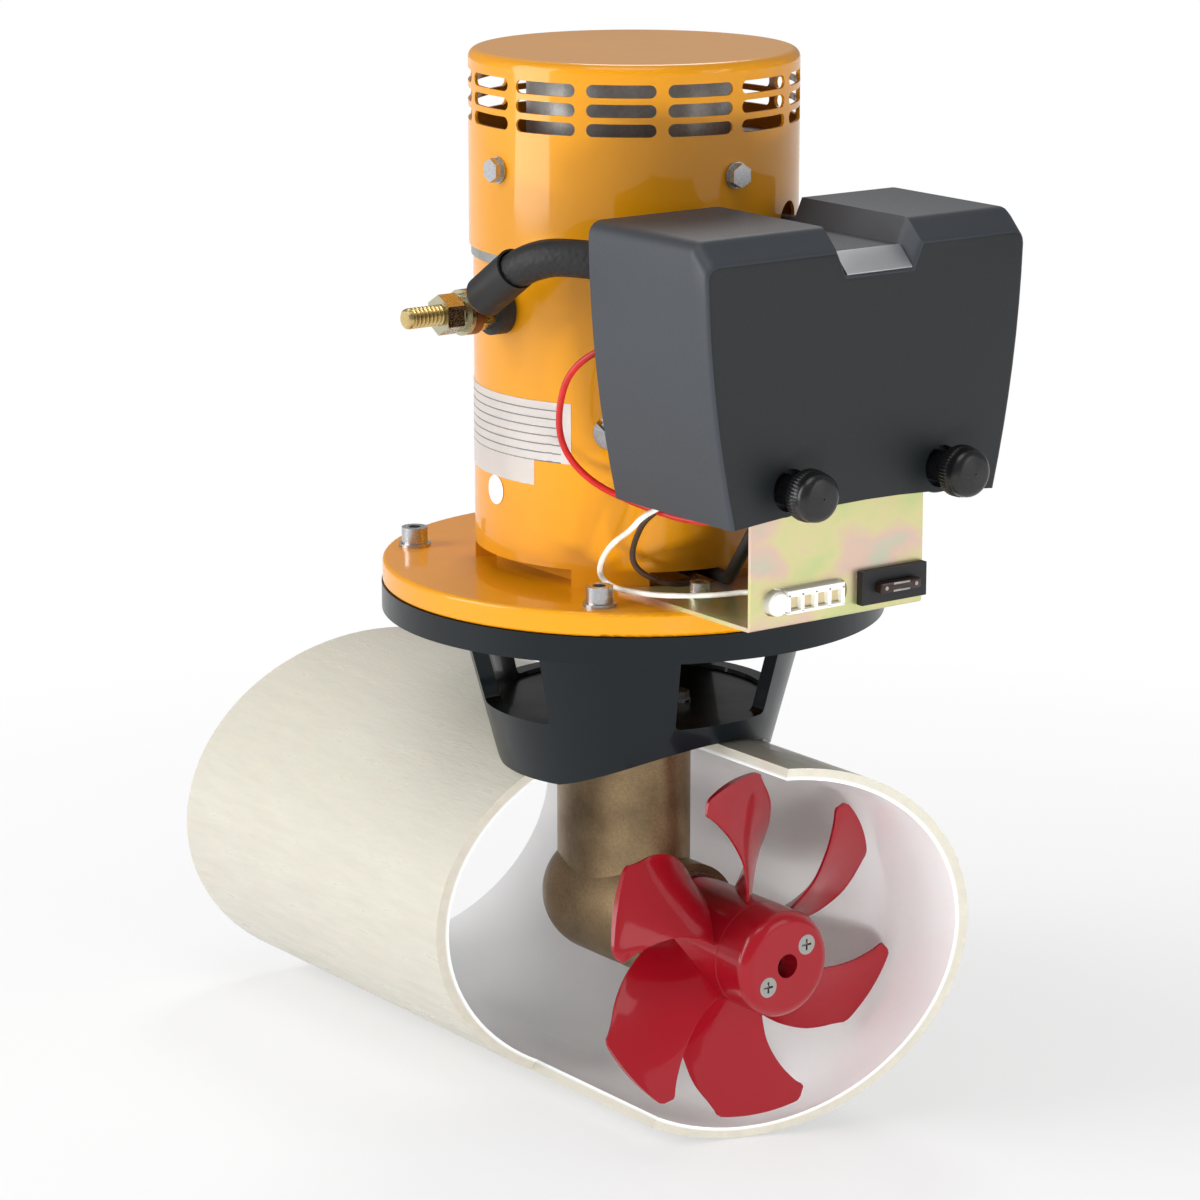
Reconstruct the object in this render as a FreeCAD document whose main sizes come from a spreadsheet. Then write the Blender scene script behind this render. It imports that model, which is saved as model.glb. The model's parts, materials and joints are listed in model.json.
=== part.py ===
"""Bow thruster on a cutaway length of tunnel.

An electric motor stands on a round mounting plate and a windowed support flange.
Its shaft runs down through a coupling into a bronze leg, where a bevel pair turns the
propeller shaft, so that the propeller pushes water along the tunnel.

Frame: the origin is where the motor axis crosses the tunnel axis, +X runs along the
tunnel towards the propeller, +Z runs up the motor.  Lengths are millimetres.
"""
import FreeCAD
import Part
import Sketcher

import math
import os
import re
from FreeCAD import Placement, Rotation, Vector

SIZES = [
    # the tunnel
    ("tunnel_bore", 185, "inside diameter of the tunnel"),
    ("tunnel_wall", 6, "thickness of the tunnel's laminate"),
    ("tunnel_left", 236, "motor axis to the plain end, along the tunnel axis"),
    ("tunnel_right", 107, "motor axis to the propeller end, along the tunnel axis"),
    ("tunnel_yaw", 19.8, "slant of the tunnel ends, seen from above, degrees"),
    ("tunnel_tilt", 9.1, "slant of the tunnel ends, seen from the side, degrees"),
    ("cutaway_left", 5, "motor axis to the cutaway's left edge"),
    ("cutaway_sweep", 153, "angle of the cutaway, from the crown down, degrees"),
    ("gasket_thick", 1.5, "sealing ring between tunnel and support flange"),
    # the support flange
    ("flange_radius", 124.5, "top disc of the support flange"),
    ("flange_thick", 13, "thickness of the top disc"),
    ("flange_top", 169, "height of the top disc's upper face"),
    ("cone_top_radius", 87.5, "outside of the cone under the top disc"),
    ("cone_foot_radius", 67, "outside of the cone at its foot"),
    ("cone_foot", 78, "height of the cone's lowest points"),
    ("cone_wall", 8.5, "wall of the cone"),
    ("floor_thick", 7, "floor of the cone above the leg"),
    ("window_base", 110, "height of the sill of the cone's windows"),
    ("window_head", 152, "height of the top of the cone's windows"),
    ("window_sill_half", 27, "half width of a window at its sill"),
    ("window_head_half", 31, "half width of a window at its top"),
    ("window_corner", 3, "corner radius of a window"),
    # the mounting plate and its screws
    ("plate_radius", 124, "mounting plate"),
    ("plate_thick", 12, "thickness of the mounting plate"),
    ("plate_edge", 2, "rounding of the mounting plate's edges"),
    ("plate_pcd", 220, "bolt circle of the plate screws"),
    ("plate_screw", 8, "thread of the plate screws"),
    # the motor
    ("motor_radius", 78, "outside of the motor yoke"),
    ("yoke_wall", 7, "wall of the yoke"),
    ("yoke_height", 142.5, "length of the yoke"),
    ("base_height", 8.5, "height of the lower bell's feet"),
    ("hub_drop", 14, "length of the bearing hub below the mounting plate's top"),
    ("hub_radius", 26, "bearing hub of the lower bell"),
    ("bell_height", 5, "rim of the upper bell"),
    ("drum_radius", 52, "drum of the upper bell"),
    ("drum_wall", 4, "wall of the drum"),
    ("drum_height", 87, "height of the drum above the yoke"),
    ("cap_radius", 80, "outside of the fan cover"),
    ("cap_height", 94, "length of the fan cover"),
    ("cap_wall", 1.6, "sheet of the fan cover"),
    ("cap_edge", 4.5, "rounding of the fan cover's top edge"),
    ("slot_high", 6.2, "height of a cooling slot"),
    ("slot_degrees", 23.7, "angle that a cooling slot spans"),
    ("slot_first", 81.7, "lower edge of the cap to the top row of slots"),
    ("slot_step", 9.1, "height from one row of slots to the next"),
    ("cap_bolt_height", 41, "lower edge of the cap to its side bolts"),
    ("armature_radius", 40, "laminated core of the armature"),
    ("armature_low", 212, "lower face of the armature core"),
    ("armature_high", 302, "upper face of the armature core"),
    ("air_gap", 1.6, "armature to pole shoes"),
    ("commutator_radius", 25, "commutator"),
    ("commutator_low", 342, "lower face of the commutator"),
    ("commutator_high", 376, "upper face of the commutator"),
    ("pole_low", 215, "lower face of the pole shoes"),
    ("pole_high", 299, "upper face of the pole shoes"),
    ("shaft_radius", 8.5, "motor shaft"),
    ("slot_phase", 7.4, "turn of the slots from the tunnel's axes, degrees"),
    ("notch_half", 10, "half width of the cable notch in the fan cover"),
    ("notch_angle", 31, "direction of the cable notch, degrees"),
    ("motor_bearing_outer", 40, "outside diameter of the lower motor bearing"),
    ("motor_bearing_wide", 12, "width of the lower motor bearing"),
    ("upper_bearing_outer", 35, "outside diameter of the upper motor bearing"),
    ("upper_bearing_wide", 10, "width of the upper motor bearing"),
    ("brush_window_half", 13, "half width of the drum's brush windows"),
    ("pole_screw", 8, "thread of the pole screws"),
    ("pole_screw_head", 16, "countersunk head of a pole screw"),
    ("pole_screw_height", 67.5, "height of the pole screws above the yoke's foot"),
    ("stud_height", 312, "height of the terminal stud"),
    ("stud_radius", 5, "terminal stud"),
    ("stud_reach", 134, "motor axis to the end of the terminal stud"),
    ("nut_face", 115, "motor axis to the outer face of the terminal nut"),
    ("insulator_radius", 9, "terminal stud's insulator in the yoke"),
    ("motor_cable", 9, "radius of the motor cable"),
    ("motor_shaft_foot", 147, "height of the motor shaft's lower end"),
    ("running_gap", 0.05, "radial clearance of a turning shaft"),
    ("seat_gap", 0.05, "clearance of parts that are seated in each other"),
    # the leg and its shafts
    ("leg_length", 88, "section of the leg, along the tunnel"),
    ("leg_width", 52, "section of the leg, across the tunnel"),
    ("leg_centre", -8, "centre of the leg's section on the tunnel axis"),
    ("leg_top", 101, "height of the leg's upper face"),
    ("leg_bolt", 6, "thread of the bolts that hold the leg"),
    ("bulb_radius", 31, "gear housing"),
    ("bulb_rear", 25, "motor axis to the centre of the rounded rear"),
    ("bulb_front", 45, "motor axis to the front of the gear housing"),
    ("chamber_radius", 27, "gear chamber"),
    ("drive_radius", 7.5, "drive shaft and propeller shaft"),
    ("tail_radius", 6, "rear journal of the propeller shaft"),
    ("coupling_radius", 20, "coupling halves"),
    ("coupling_split", 136, "height of the lower coupling half's face"),
    ("coupling_top", 166, "top of the upper coupling half"),
    ("coupling_foot", 118, "foot of the lower coupling half"),
    ("drive_step", 25, "height of the drive shaft's shoulder above the pinion"),
    ("pinion_bore", 5, "radius of the drive shaft in the pinion"),
    ("crown_back", 22.5, "back face of the bevel wheel"),
    ("leg_bearing_outer", 35, "outside diameter of the shaft bearings"),
    ("blade_phase", 35, "angle of the first blade, degrees"),
    ("hub_cap_edge", 6, "rounding of the hub cap"),
    ("cap_screw_head", 10, "countersunk screws of the hub cap"),
    ("connector_middle", -22, "middle of the wire connector across the tunnel"),
    ("connector_height", 193.5, "height of the connector and the fuse"),
    ("fuse_middle", 28.5, "middle of the fuse across the tunnel"),
    ("solenoid_low", 262, "foot of the solenoid"),
    ("solenoid_high", 318, "top of the solenoid's body"),
    # the bevel pair
    ("tooth_module", 2.25, "module of the bevel pair at its large end"),
    ("pinion_teeth", 12, "teeth of the bevel pinion"),
    ("crown_teeth", 20, "teeth of the bevel wheel"),
    ("tooth_face", 0.36, "face width as a share of the cone distance"),
    # the propeller
    ("propeller_radius", 87, "radius over the blade tips"),
    ("blade_count", 6, "number of blades"),
    ("propeller_hub", 26.5, "radius of the propeller hub"),
    ("hub_rear", 52, "motor axis to the rear of the hub"),
    ("hub_front", 103, "motor axis to the front of the hub"),
    ("hub_cap_length", 22, "length of the hub cap"),
    # the bracket and the control box
    ("bracket_sheet", 2, "sheet of the bracket"),
    ("bracket_front", 162, "motor axis to the front of the bracket"),
    ("bracket_left", 54, "bracket's left edge"),
    ("bracket_right", 48.5, "bracket's right edge"),
    ("bracket_rear", 60, "motor axis to the rear of the bracket's foot"),
    ("bracket_high", 150, "height of the bracket above the mounting plate"),
    ("cover_middle", 2.5, "middle of the control box across the tunnel"),
    ("cover_half_top", 94, "half width of the box at its top"),
    ("cover_half_foot", 78, "half width of the box at its foot"),
    ("cover_bulge", 4, "bulge of the box's sides"),
    ("cover_low", 234, "height of the box's lower corners"),
    ("cover_arch", 5, "rise of the box's lower edge at its middle"),
    ("cover_high", 365.5, "height of the box's top"),
    ("cover_rear", 88, "motor axis to the rear of the box"),
    ("cover_front", 176, "motor axis to the front of the box"),
    ("cover_wall", 3, "wall of the box"),
    ("cover_bevel", 11, "bevel along the top and front edges of the box"),
    ("channel_half", 18, "half width of the channel in the box's top"),
    ("channel_deep", 12, "depth of the channel in the box's top"),
    ("knob_spacing", 90, "distance between the knobs"),
    ("knob_height", 249, "height of the knobs' axes"),
    ("knob_radius", 12.2, "rim of a knob"),
    ("stud_thread", 8, "thread of the studs that carry the knobs"),
]

doc = FreeCAD.newDocument("BowThruster")
sheet = doc.addObject("Spreadsheet::Sheet", "Sizes")
value = {}
for row, (alias, number_mm, meaning) in enumerate(SIZES, start=1):
    sheet.set(f"A{row}", alias)
    sheet.set(f"B{row}", str(number_mm))
    sheet.set(f"C{row}", meaning)
    sheet.setAlias(f"B{row}", alias)
    value[alias] = number_mm
doc.recompute()

# Levels and places that follow from the sizes above, as expressions.
PLATE_TOP = "(flange_top + plate_thick)"
YOKE_BASE = f"({PLATE_TOP} + base_height)"
YOKE_TOP = f"({YOKE_BASE} + yoke_height)"
CAP_BASE = f"({YOKE_TOP} + bell_height)"
CAP_TOP = f"({CAP_BASE} + cap_height)"
DRUM_TOP = f"({YOKE_TOP} + drum_height)"
TUNNEL_RADIUS = "(tunnel_bore / 2 + tunnel_wall)"
FLOOR_TOP = "(leg_top + floor_thick)"
CAP_FRONT = "(hub_front + hub_cap_length)"
FUNCTIONS = {"sqrt", "sin", "cos", "tan", "atan"}
BIG = 600


def cells(expression):
    """Point each size named in an expression at its cell in the sheet."""
    def point(word):
        name = word.group()
        return name if name in FUNCTIONS else f"Sizes.{name}"
    return re.sub(r"[a-z]\w*", point, str(expression))


gauge = doc.addObject("App::FeaturePython", "Gauge")
gauge.addProperty("App::PropertyFloat", "Reading")


def measure(expression):
    """The number that an expression in the sheet's names comes to."""
    gauge.setExpression("Reading", cells(expression))
    gauge.recompute()
    return gauge.Reading


NODES = []


def name_node(thing, label):
    """Give a finished sub-part its label and list it for export."""
    thing.Label = label
    NODES.append(thing)
    return thing


# ---- sketches and features of bodies -------------------------------------------------

def new_body(label):
    return doc.addObject("PartDesign::Body", label + "_body")


def new_sketch(body, plane, height="0"):
    """A sketch on one of the body's own planes, moved along its normal."""
    sketch = body.newObject("Sketcher::SketchObject", "Sketch")
    base = [item for item in body.Origin.OriginFeatures if item.Role == plane + "_Plane"][0]
    sketch.AttachmentSupport = (base, [""])
    sketch.MapMode = "FlatFace"
    if height != "0":
        sketch.setExpression("AttachmentOffset.Base.z", cells(height))
    return sketch


def bind(sketch, kind, *place, to):
    """Add a dimension and bind it to the sheet."""
    index = sketch.addConstraint(Sketcher.Constraint(kind, *place))
    sketch.setExpression(f"Constraints[{index}]", cells(to))


def add_outline(sketch, corners):
    """A closed outline of straight lines, each corner placed from the origin."""
    first = sketch.GeometryCount
    count = len(corners)
    ring = [Vector(10, 0, 0), ] * count
    for i in range(count):
        turn = 2 * math.pi * i / count
        ring[i] = Vector(10 * math.cos(turn), 10 * math.sin(turn), 0)
    for i in range(count):
        sketch.addGeometry(Part.LineSegment(ring[i], ring[(i + 1) % count]), False)
    for i in range(count):
        after = first + (i + 1) % count
        sketch.addConstraint(Sketcher.Constraint("Coincident", first + i, 2, after, 1))
    for i, (across, along) in enumerate(corners):
        bind(sketch, "DistanceX", first + i, 1, ring[i].x, to=across)
        bind(sketch, "DistanceY", first + i, 1, ring[i].y, to=along)


def add_circle(sketch, across, along, radius):
    index = sketch.addGeometry(Part.Circle(Vector(5, 5, 0), Vector(0, 0, 1), 3), False)
    bind(sketch, "DistanceX", index, 3, 5, to=across)
    bind(sketch, "DistanceY", index, 3, 5, to=along)
    bind(sketch, "Radius", index, 3, to=radius)


def turned(body, corners, axis="Z", cut=False):
    """Turn an outline of (radius, height) corners about Z, or (x, radius) about X."""
    sketch = new_sketch(body, "XZ")
    add_outline(sketch, corners)
    kind = "Groove" if cut else "Revolution"
    feature = body.newObject("PartDesign::" + kind, kind)
    feature.Profile = sketch
    feature.ReferenceAxis = (sketch, ["V_Axis" if axis == "Z" else "H_Axis"])
    feature.Angle = 360
    return feature


def raised(body, sketch, length, kind="Pad", reverse=False, both=False):
    """Pad or pocket a sketch by a length, on one side or on both."""
    feature = body.newObject("PartDesign::" + kind, kind)
    feature.Profile = sketch
    if both:
        feature.SideType = "Symmetric"
    feature.Reversed = reverse
    feature.setExpression("Length", cells(length))
    return feature


def patterned(body, feature, count, axis="Z"):
    """Repeat a feature evenly about one of the body's axes."""
    line = [item for item in body.Origin.OriginFeatures if item.Role == axis + "_Axis"][0]
    pattern = body.newObject("PartDesign::PolarPattern", "PolarPattern")
    pattern.Originals = [feature]
    pattern.Axis = (line, [""])
    pattern.Angle = 360
    pattern.Occurrences = count
    body.Tip = pattern
    return pattern


def eased(body, feature, size, wanted, kind="Fillet"):
    """Round or bevel the edges of a feature that the test picks."""
    doc.recompute()
    edges = [f"Edge{i}" for i, edge in enumerate(feature.Shape.Edges, start=1) if wanted(edge)]
    if not edges:
        raise ValueError(f"{body.Name}: no edge to ease")
    easing = body.newObject("PartDesign::" + kind, kind)
    easing.Base = (feature, edges)
    easing.setExpression("Radius" if kind == "Fillet" else "Size", cells(size))
    return easing


def is_circle(edge, radius=None, height=None, x=None):
    """Whether an edge is a full circle with the given radius and place."""
    if not isinstance(edge.Curve, Part.Circle) or not edge.isClosed():
        return False
    centre = edge.Curve.Center
    return ((radius is None or abs(edge.Curve.Radius - radius) < 0.01)
            and (height is None or abs(centre.z - height) < 0.01)
            and (x is None or abs(centre.x - x) < 0.01))


# ---- primitives and booleans ----------------------------------------------------------

TO_X = Rotation(Vector(0, 1, 0), 90)
TO_Y = Rotation(Vector(1, 0, 0), -90)


def primitive(kind, place=("0", "0", "0"), rotation=None, **sizes):
    """A Part primitive with its sizes and its place bound to the sheet."""
    thing = doc.addObject("Part::" + kind, kind)
    for name, expression in sizes.items():
        thing.setExpression(name, cells(expression))
    if rotation:
        thing.Placement = Placement(Vector(), rotation)
    for axis, expression in zip("xyz", place):
        if expression != "0":
            thing.setExpression(f"Placement.Base.{axis}", cells(expression))
    return thing


def combined(kind, *things):
    """Cut, Fuse or Common of two objects, or MultiFuse of many."""
    result = doc.addObject("Part::" + kind, kind)
    if kind.startswith("Multi"):
        result.Shapes = list(things)
    else:
        result.Base, result.Tool = things
    return result


def made(label, shape):
    """A sub-part whose shape is worked out here from the sheet's values."""
    thing = doc.addObject("Part::Feature", label + "_shape")
    thing.Shape = shape
    return name_node(thing, label)


def at_angle(shape, degrees, axis=Vector(0, 0, 1)):
    """A copy of a shape turned about an axis through the origin."""
    copy = shape.copy()
    copy.rotate(Vector(), axis, degrees)
    return copy


def ringed(shape, angles, axis=Vector(0, 0, 1)):
    return Part.makeCompound([at_angle(shape, angle, axis) for angle in angles])


def rod(radius, start, end):
    """A cylinder from one point to another."""
    return Part.makeCylinder(radius, (end - start).Length, start, end - start)


def tube(outer, inner, start, end):
    return rod(outer, start, end).cut(rod(inner, start, end))


def hexagon(across_flats, start, end, turn=0):
    """A hexagonal prism between two points."""
    corner = across_flats / math.sqrt(3)
    axis = (end - start).normalize()
    spread = Rotation(Vector(0, 0, 1), axis)
    points = []
    for i in range(7):
        angle = math.radians(60 * i + turn)
        flat = Vector(corner * math.cos(angle), corner * math.sin(angle), 0)
        points.append(start + spread.multVec(flat))
    return Part.Face(Part.makePolygon(points)).extrude(end - start)


QUARTERS = (0, 90, 180, 270)
DIAGONALS = (45, 135, 225, 315)


# ---- the tunnel -----------------------------------------------------------------------

def slanted_slab(start, length):
    """A block between two planes that slant as the tunnel's ends do."""
    slant = Rotation(-value["tunnel_yaw"], value["tunnel_tilt"], 0)
    slab = primitive("Box", Length=length, Width=BIG, Height=BIG)
    corner = Vector(measure(start), 0, 0) - slant.multVec(Vector(0, BIG / 2, BIG / 2))
    slab.Placement = Placement(corner, slant)
    return slab


def along_tunnel(radius):
    """A long cylinder on the tunnel's axis."""
    return primitive("Cylinder", place=(-BIG / 2, "0", "0"), rotation=TO_X,
                     Radius=radius, Height=BIG)


def leg_column(margin, low, high):
    """The leg's oval section, widened by a margin, between two heights."""
    oval = primitive("Ellipse", place=("leg_centre", "0", low),
                     MajorRadius=f"leg_length / 2 + {margin}",
                     MinorRadius=f"leg_width / 2 + {margin}")
    column = doc.addObject("Part::Extrusion", "LegColumn")
    column.Base = oval
    column.DirMode = "Custom"
    column.Dir = Vector(0, 0, 1)
    column.Solid = True
    column.setExpression("LengthFwd", cells(f"{high} - ({low})"))
    return column


def cutaway():
    """The piece of the tunnel's wall that is left out in front of the propeller."""
    start_at_crown = Rotation(Vector(0, 0, 1), Vector(0, -1, 0), Vector(1, 0, 0))
    sector = primitive("Cylinder", place=(-BIG / 2, "0", "0"), rotation=start_at_crown,
                       Radius=f"{TUNNEL_RADIUS} + 20", Height=BIG, Angle="cutaway_sweep")
    return combined("Common", sector, slanted_slab("cutaway_left", BIG))


def build_tunnel():
    """Laminate tube with slanted ends, a cutaway and an oval hole for the leg."""
    length = "(tunnel_left + tunnel_right) * cos(tunnel_yaw) * cos(tunnel_tilt)"
    wall = combined("Cut", along_tunnel(TUNNEL_RADIUS), along_tunnel("tunnel_bore / 2"))
    plain = combined("Common", wall, slanted_slab("-tunnel_left", length))
    holes = combined("Fuse", cutaway(), leg_column("1.5", "0", f"{TUNNEL_RADIUS} + 20"))
    name_node(combined("Cut", plain, holes), "tunnel")


def build_gasket():
    """Sealing ring bedded between the tunnel and the support flange."""
    outside = f"{TUNNEL_RADIUS} + gasket_thick"
    layer = combined("Cut", along_tunnel(outside), along_tunnel(TUNNEL_RADIUS))
    disc = primitive("Cylinder", place=("0", "0", "cone_foot"), Radius="cone_foot_radius - 2",
                     Height="leg_top - cone_foot")
    ring = combined("Common", layer, disc)
    holes = combined("Fuse", cutaway(), leg_column("1.5", "0", f"{TUNNEL_RADIUS} + 20"))
    name_node(combined("Cut", ring, holes), "tunnel_gasket")


# ---- the support flange and the mounting plate ----------------------------------------

LEG_BOLTS = [(28, 13), (28, -13), (-28, 13), (-28, -13)]


def build_support_flange():
    """Cone with four windows, a saddle for the tunnel and a top disc for the motor."""
    under = "(flange_top - flange_thick)"
    slope = f"((cone_top_radius - cone_foot_radius) / ({under} - cone_foot))"
    inner_foot = f"(cone_foot_radius + ({FLOOR_TOP} - cone_foot) * {slope} - cone_wall)"
    inner_top = "(cone_top_radius - cone_wall)"
    body = new_body("support_flange")
    turned(body, [
        ("drive_radius + 4", "cone_foot"),
        ("cone_foot_radius", "cone_foot"),
        ("cone_top_radius", under),
        ("flange_radius", under),
        ("flange_radius", "flange_top"),
        (inner_top, "flange_top"),
        (inner_top, under),
        (inner_foot, FLOOR_TOP),
        ("drive_radius + 4", FLOOR_TOP),
    ])
    for plane in ("YZ", "XZ"):
        window = new_sketch(body, plane)
        add_outline(window, [
            ("-window_sill_half", "window_base"),
            ("window_sill_half", "window_base"),
            ("window_head_half", "window_head"),
            ("-window_head_half", "window_head"),
        ])
        opened = raised(body, window, BIG, kind="Pocket", both=True)
    sill, head = value["window_base"] - 1, value["window_head"] + 1

    def is_window_corner(edge):
        if not isinstance(edge.Curve, Part.Line):
            return False
        way = edge.Curve.Direction
        level = edge.CenterOfMass.z
        return sill < level < head and max(abs(way.x), abs(way.y)) > 0.999

    eased(body, opened, "window_corner", is_window_corner)
    saddle = new_sketch(body, "YZ")
    add_circle(saddle, "0", "0", f"{TUNNEL_RADIUS} + gasket_thick")
    raised(body, saddle, BIG, kind="Pocket", both=True)
    for_plate = new_sketch(body, "XY", "flange_top")
    offset = "plate_pcd / 2 * cos(45)"
    add_circle(for_plate, offset, offset, "plate_screw / 2 + seat_gap")
    tapped = raised(body, for_plate, "flange_thick", kind="Pocket")
    patterned(body, tapped, 4)
    for_leg = new_sketch(body, "XY", FLOOR_TOP)
    for along, across in LEG_BOLTS:
        add_circle(for_leg, f"leg_centre + {along}", across, "leg_bolt / 2 + 0.3")
    body.Tip = raised(body, for_leg, "floor_thick + 10", kind="Pocket")
    socket = leg_column("seat_gap", "0", "leg_top")
    name_node(combined("Cut", body, socket), "support_flange")


def cap_screw(thread, length, head=None):
    """Socket head screw and washer: the washer lies on z = 0, the shank points down."""
    high = thread if head is None else head
    washer = 0.2 * thread
    radius = thread / 2
    screw = rod(radius, Vector(0, 0, -length), Vector(0, 0, washer))
    screw = screw.fuse(rod(0.8125 * thread, Vector(0, 0, washer), Vector(0, 0, washer + high)))
    socket = hexagon(0.75 * thread, Vector(0, 0, washer + 0.45 * high),
                     Vector(0, 0, washer + high + 1))
    ring = tube(1.0 * thread, radius + 0.05, Vector(), Vector(0, 0, washer))
    return Part.makeCompound([screw.cut(socket), ring])


def hex_bolt(thread, length, across_flats):
    """Hexagon bolt and washer, placed as the socket screw is."""
    washer = 0.17 * thread
    radius = thread / 2
    bolt = rod(radius, Vector(0, 0, -length), Vector(0, 0, washer))
    bolt = bolt.fuse(hexagon(across_flats, Vector(0, 0, washer),
                             Vector(0, 0, washer + 0.66 * thread)))
    ring = tube(1.05 * thread, radius + 0.05, Vector(), Vector(0, 0, washer))
    return Part.makeCompound([bolt, ring])


def shifted(shape, x, y, z):
    copy = shape.copy()
    copy.translate(Vector(x, y, z))
    return copy


def facing(shape, direction, point):
    """A part made along +Z, turned to face a direction and moved to a point."""
    copy = shape.copy()
    turn = Rotation(Vector(0, 0, 1), direction)
    copy.Placement = Placement(point, turn).multiply(copy.Placement)
    return copy


BRACKET_SCREWS = [(98, 34), (98, -34)]


def build_mounting_plate():
    """Round plate that carries the motor, with its hub bore and screw holes."""
    body = new_body("mounting_plate")
    disc = turned(body, [
        ("hub_radius + 0.2", "flange_top"),
        ("plate_radius", "flange_top"),
        ("plate_radius", PLATE_TOP),
        ("hub_radius + 0.2", PLATE_TOP),
    ])
    rim = value["plate_radius"]
    eased(body, disc, "plate_edge", lambda edge: is_circle(edge, radius=rim))
    for_screw = new_sketch(body, "XY", PLATE_TOP)
    offset = "plate_pcd / 2 * cos(45)"
    add_circle(for_screw, offset, offset, "plate_screw / 2 + 0.3")
    drilled = raised(body, for_screw, "plate_thick", kind="Pocket")
    patterned(body, drilled, 4)
    for_bracket = new_sketch(body, "XY", PLATE_TOP)
    for along, across in BRACKET_SCREWS:
        add_circle(for_bracket, along, across, "3 + seat_gap")
    body.Tip = raised(body, for_bracket, "8", kind="Pocket")
    name_node(body, "mounting_plate")
    screw = cap_screw(value["plate_screw"], value["plate_thick"] + value["flange_thick"] - 3)
    at_rim = shifted(screw, value["plate_pcd"] / 2, 0, measure(PLATE_TOP))
    made("plate_screws", ringed(at_rim, DIAGONALS))


# ---- the motor ------------------------------------------------------------------------

def bearing(bore_radius, outer_radius, width, start, axis):
    """Ball bearing with shields set back between its rings."""
    end = start + axis * width
    ring = tube(outer_radius - value["seat_gap"], bore_radius + value["running_gap"], start, end)
    for face, inward in ((start, axis), (end, -axis)):
        recess = tube(outer_radius - 3.5, bore_radius + 3, face, face + inward * 0.6)
        ring = ring.cut(recess)
    return ring


def build_lower_bell():
    """Cast end bell: bearing hub, disc and four feet with air windows between them."""
    hub_foot = f"({PLATE_TOP} - hub_drop)"
    seat_top = f"({hub_foot} + motor_bearing_wide)"
    disc_top = f"({PLATE_TOP} + base_height - 2.5)"
    body = new_body("lower_bell")
    bell = turned(body, [
        ("motor_bearing_outer / 2", hub_foot),
        ("hub_radius", hub_foot),
        ("hub_radius", PLATE_TOP),
        ("motor_radius", PLATE_TOP),
        ("motor_radius", YOKE_BASE),
        ("motor_radius - yoke_wall", YOKE_BASE),
        ("motor_radius - yoke_wall", disc_top),
        ("shaft_radius + 2", disc_top),
        ("shaft_radius + 2", seat_top),
        ("motor_bearing_outer / 2", seat_top),
    ])
    gap = new_sketch(body, "XY", YOKE_BASE)
    spread = "tan(31)"
    add_outline(gap, [
        ("motor_radius - 20", f"-(motor_radius - 20) * {spread}"),
        ("motor_radius + 20", f"-(motor_radius + 20) * {spread}"),
        ("motor_radius + 20", f"(motor_radius + 20) * {spread}"),
        ("motor_radius - 20", f"(motor_radius - 20) * {spread}"),
    ])
    opened = raised(body, gap, "base_height", kind="Pocket")
    patterned(body, opened, 4)
    name_node(body, "lower_bell")


def countersunk(head, thread, length, slot=True):
    """Countersunk screw: the head's face lies on z = 0, the shank points down."""
    deep = (head - thread) / 2
    screw = Part.makeCone(thread / 2, head / 2, deep, Vector(0, 0, -deep))
    screw = screw.fuse(rod(thread / 2, Vector(0, 0, -length), Vector(0, 0, -deep)))
    if slot:
        cut = Part.makeBox(head + 2, 0.16 * head, deep * 0.6)
        cut.translate(Vector(-head / 2 - 1, -0.08 * head, -deep * 0.6))
        screw = screw.cut(cut)
    return screw


def pole_screw_places():
    """Directions and points of the pole screws' heads on the yoke."""
    height = measure(YOKE_BASE) + value["pole_screw_height"]
    places = []
    for angle in DIAGONALS:
        out = Vector(math.cos(math.radians(angle)), math.sin(math.radians(angle)), 0)
        reach = value["motor_radius"] - 0.4
        places.append((out, out * reach + Vector(0, 0, height)))
    return places


def build_yoke():
    """Steel tube of the motor, with its pole screws, pole shoes and field coils."""
    body = new_body("motor_yoke")
    turned(body, [
        ("motor_radius - yoke_wall", YOKE_BASE),
        ("motor_radius", YOKE_BASE),
        ("motor_radius", YOKE_TOP),
        ("motor_radius - yoke_wall", YOKE_TOP),
    ])
    gap = value["seat_gap"]
    head, thread = value["pole_screw_head"], value["pole_screw"]
    cutters, screws = [], []
    for out, point in pole_screw_places():
        hole = countersunk(head + 2 * gap, thread + 2 * gap, 30, slot=False)
        rim = rod(head / 2 + gap, Vector(), Vector(0, 0, 3))
        cutters.append(facing(hole.fuse(rim), out, point))
        screws.append(facing(countersunk(head, thread, 24), out, point))
    outlet = Vector(0, -value["motor_radius"] - 5, value["stud_height"])
    cutters.append(rod(value["insulator_radius"] + gap, outlet, outlet + Vector(0, 25, 0)))
    holes = doc.addObject("Part::Feature", "YokeHoles")
    holes.Shape = Part.makeCompound(cutters)
    name_node(combined("Cut", body, holes), "motor_yoke")
    made("pole_screws", Part.makeCompound(screws))

    inner = value["armature_radius"] + value["air_gap"]
    outer = value["motor_radius"] - value["yoke_wall"] - gap
    low, high = value["pole_low"], value["pole_high"]
    shoe = sector(inner + 5, inner, low, high, 72, 45).fuse(
        sector(outer, inner, low, high, 46, 45))
    bore = Vector(1, 1, 0).normalize() * outer + Vector(0, 0, pole_screw_places()[0][1].z)
    shoe = shoe.cut(rod(thread / 2 + gap, bore, bore - Vector(1, 1, 0).normalize() * 25))
    made("pole_shoes", ringed(shoe, QUARTERS))
    coil = sector(outer - 5, inner + 5.2, low - 9, high + 6, 84, 45)
    coil = coil.cut(sector(outer, inner, low - 0.2, high + 0.2, 46.6, 45))
    made("field_coils", ringed(coil, QUARTERS))


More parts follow.
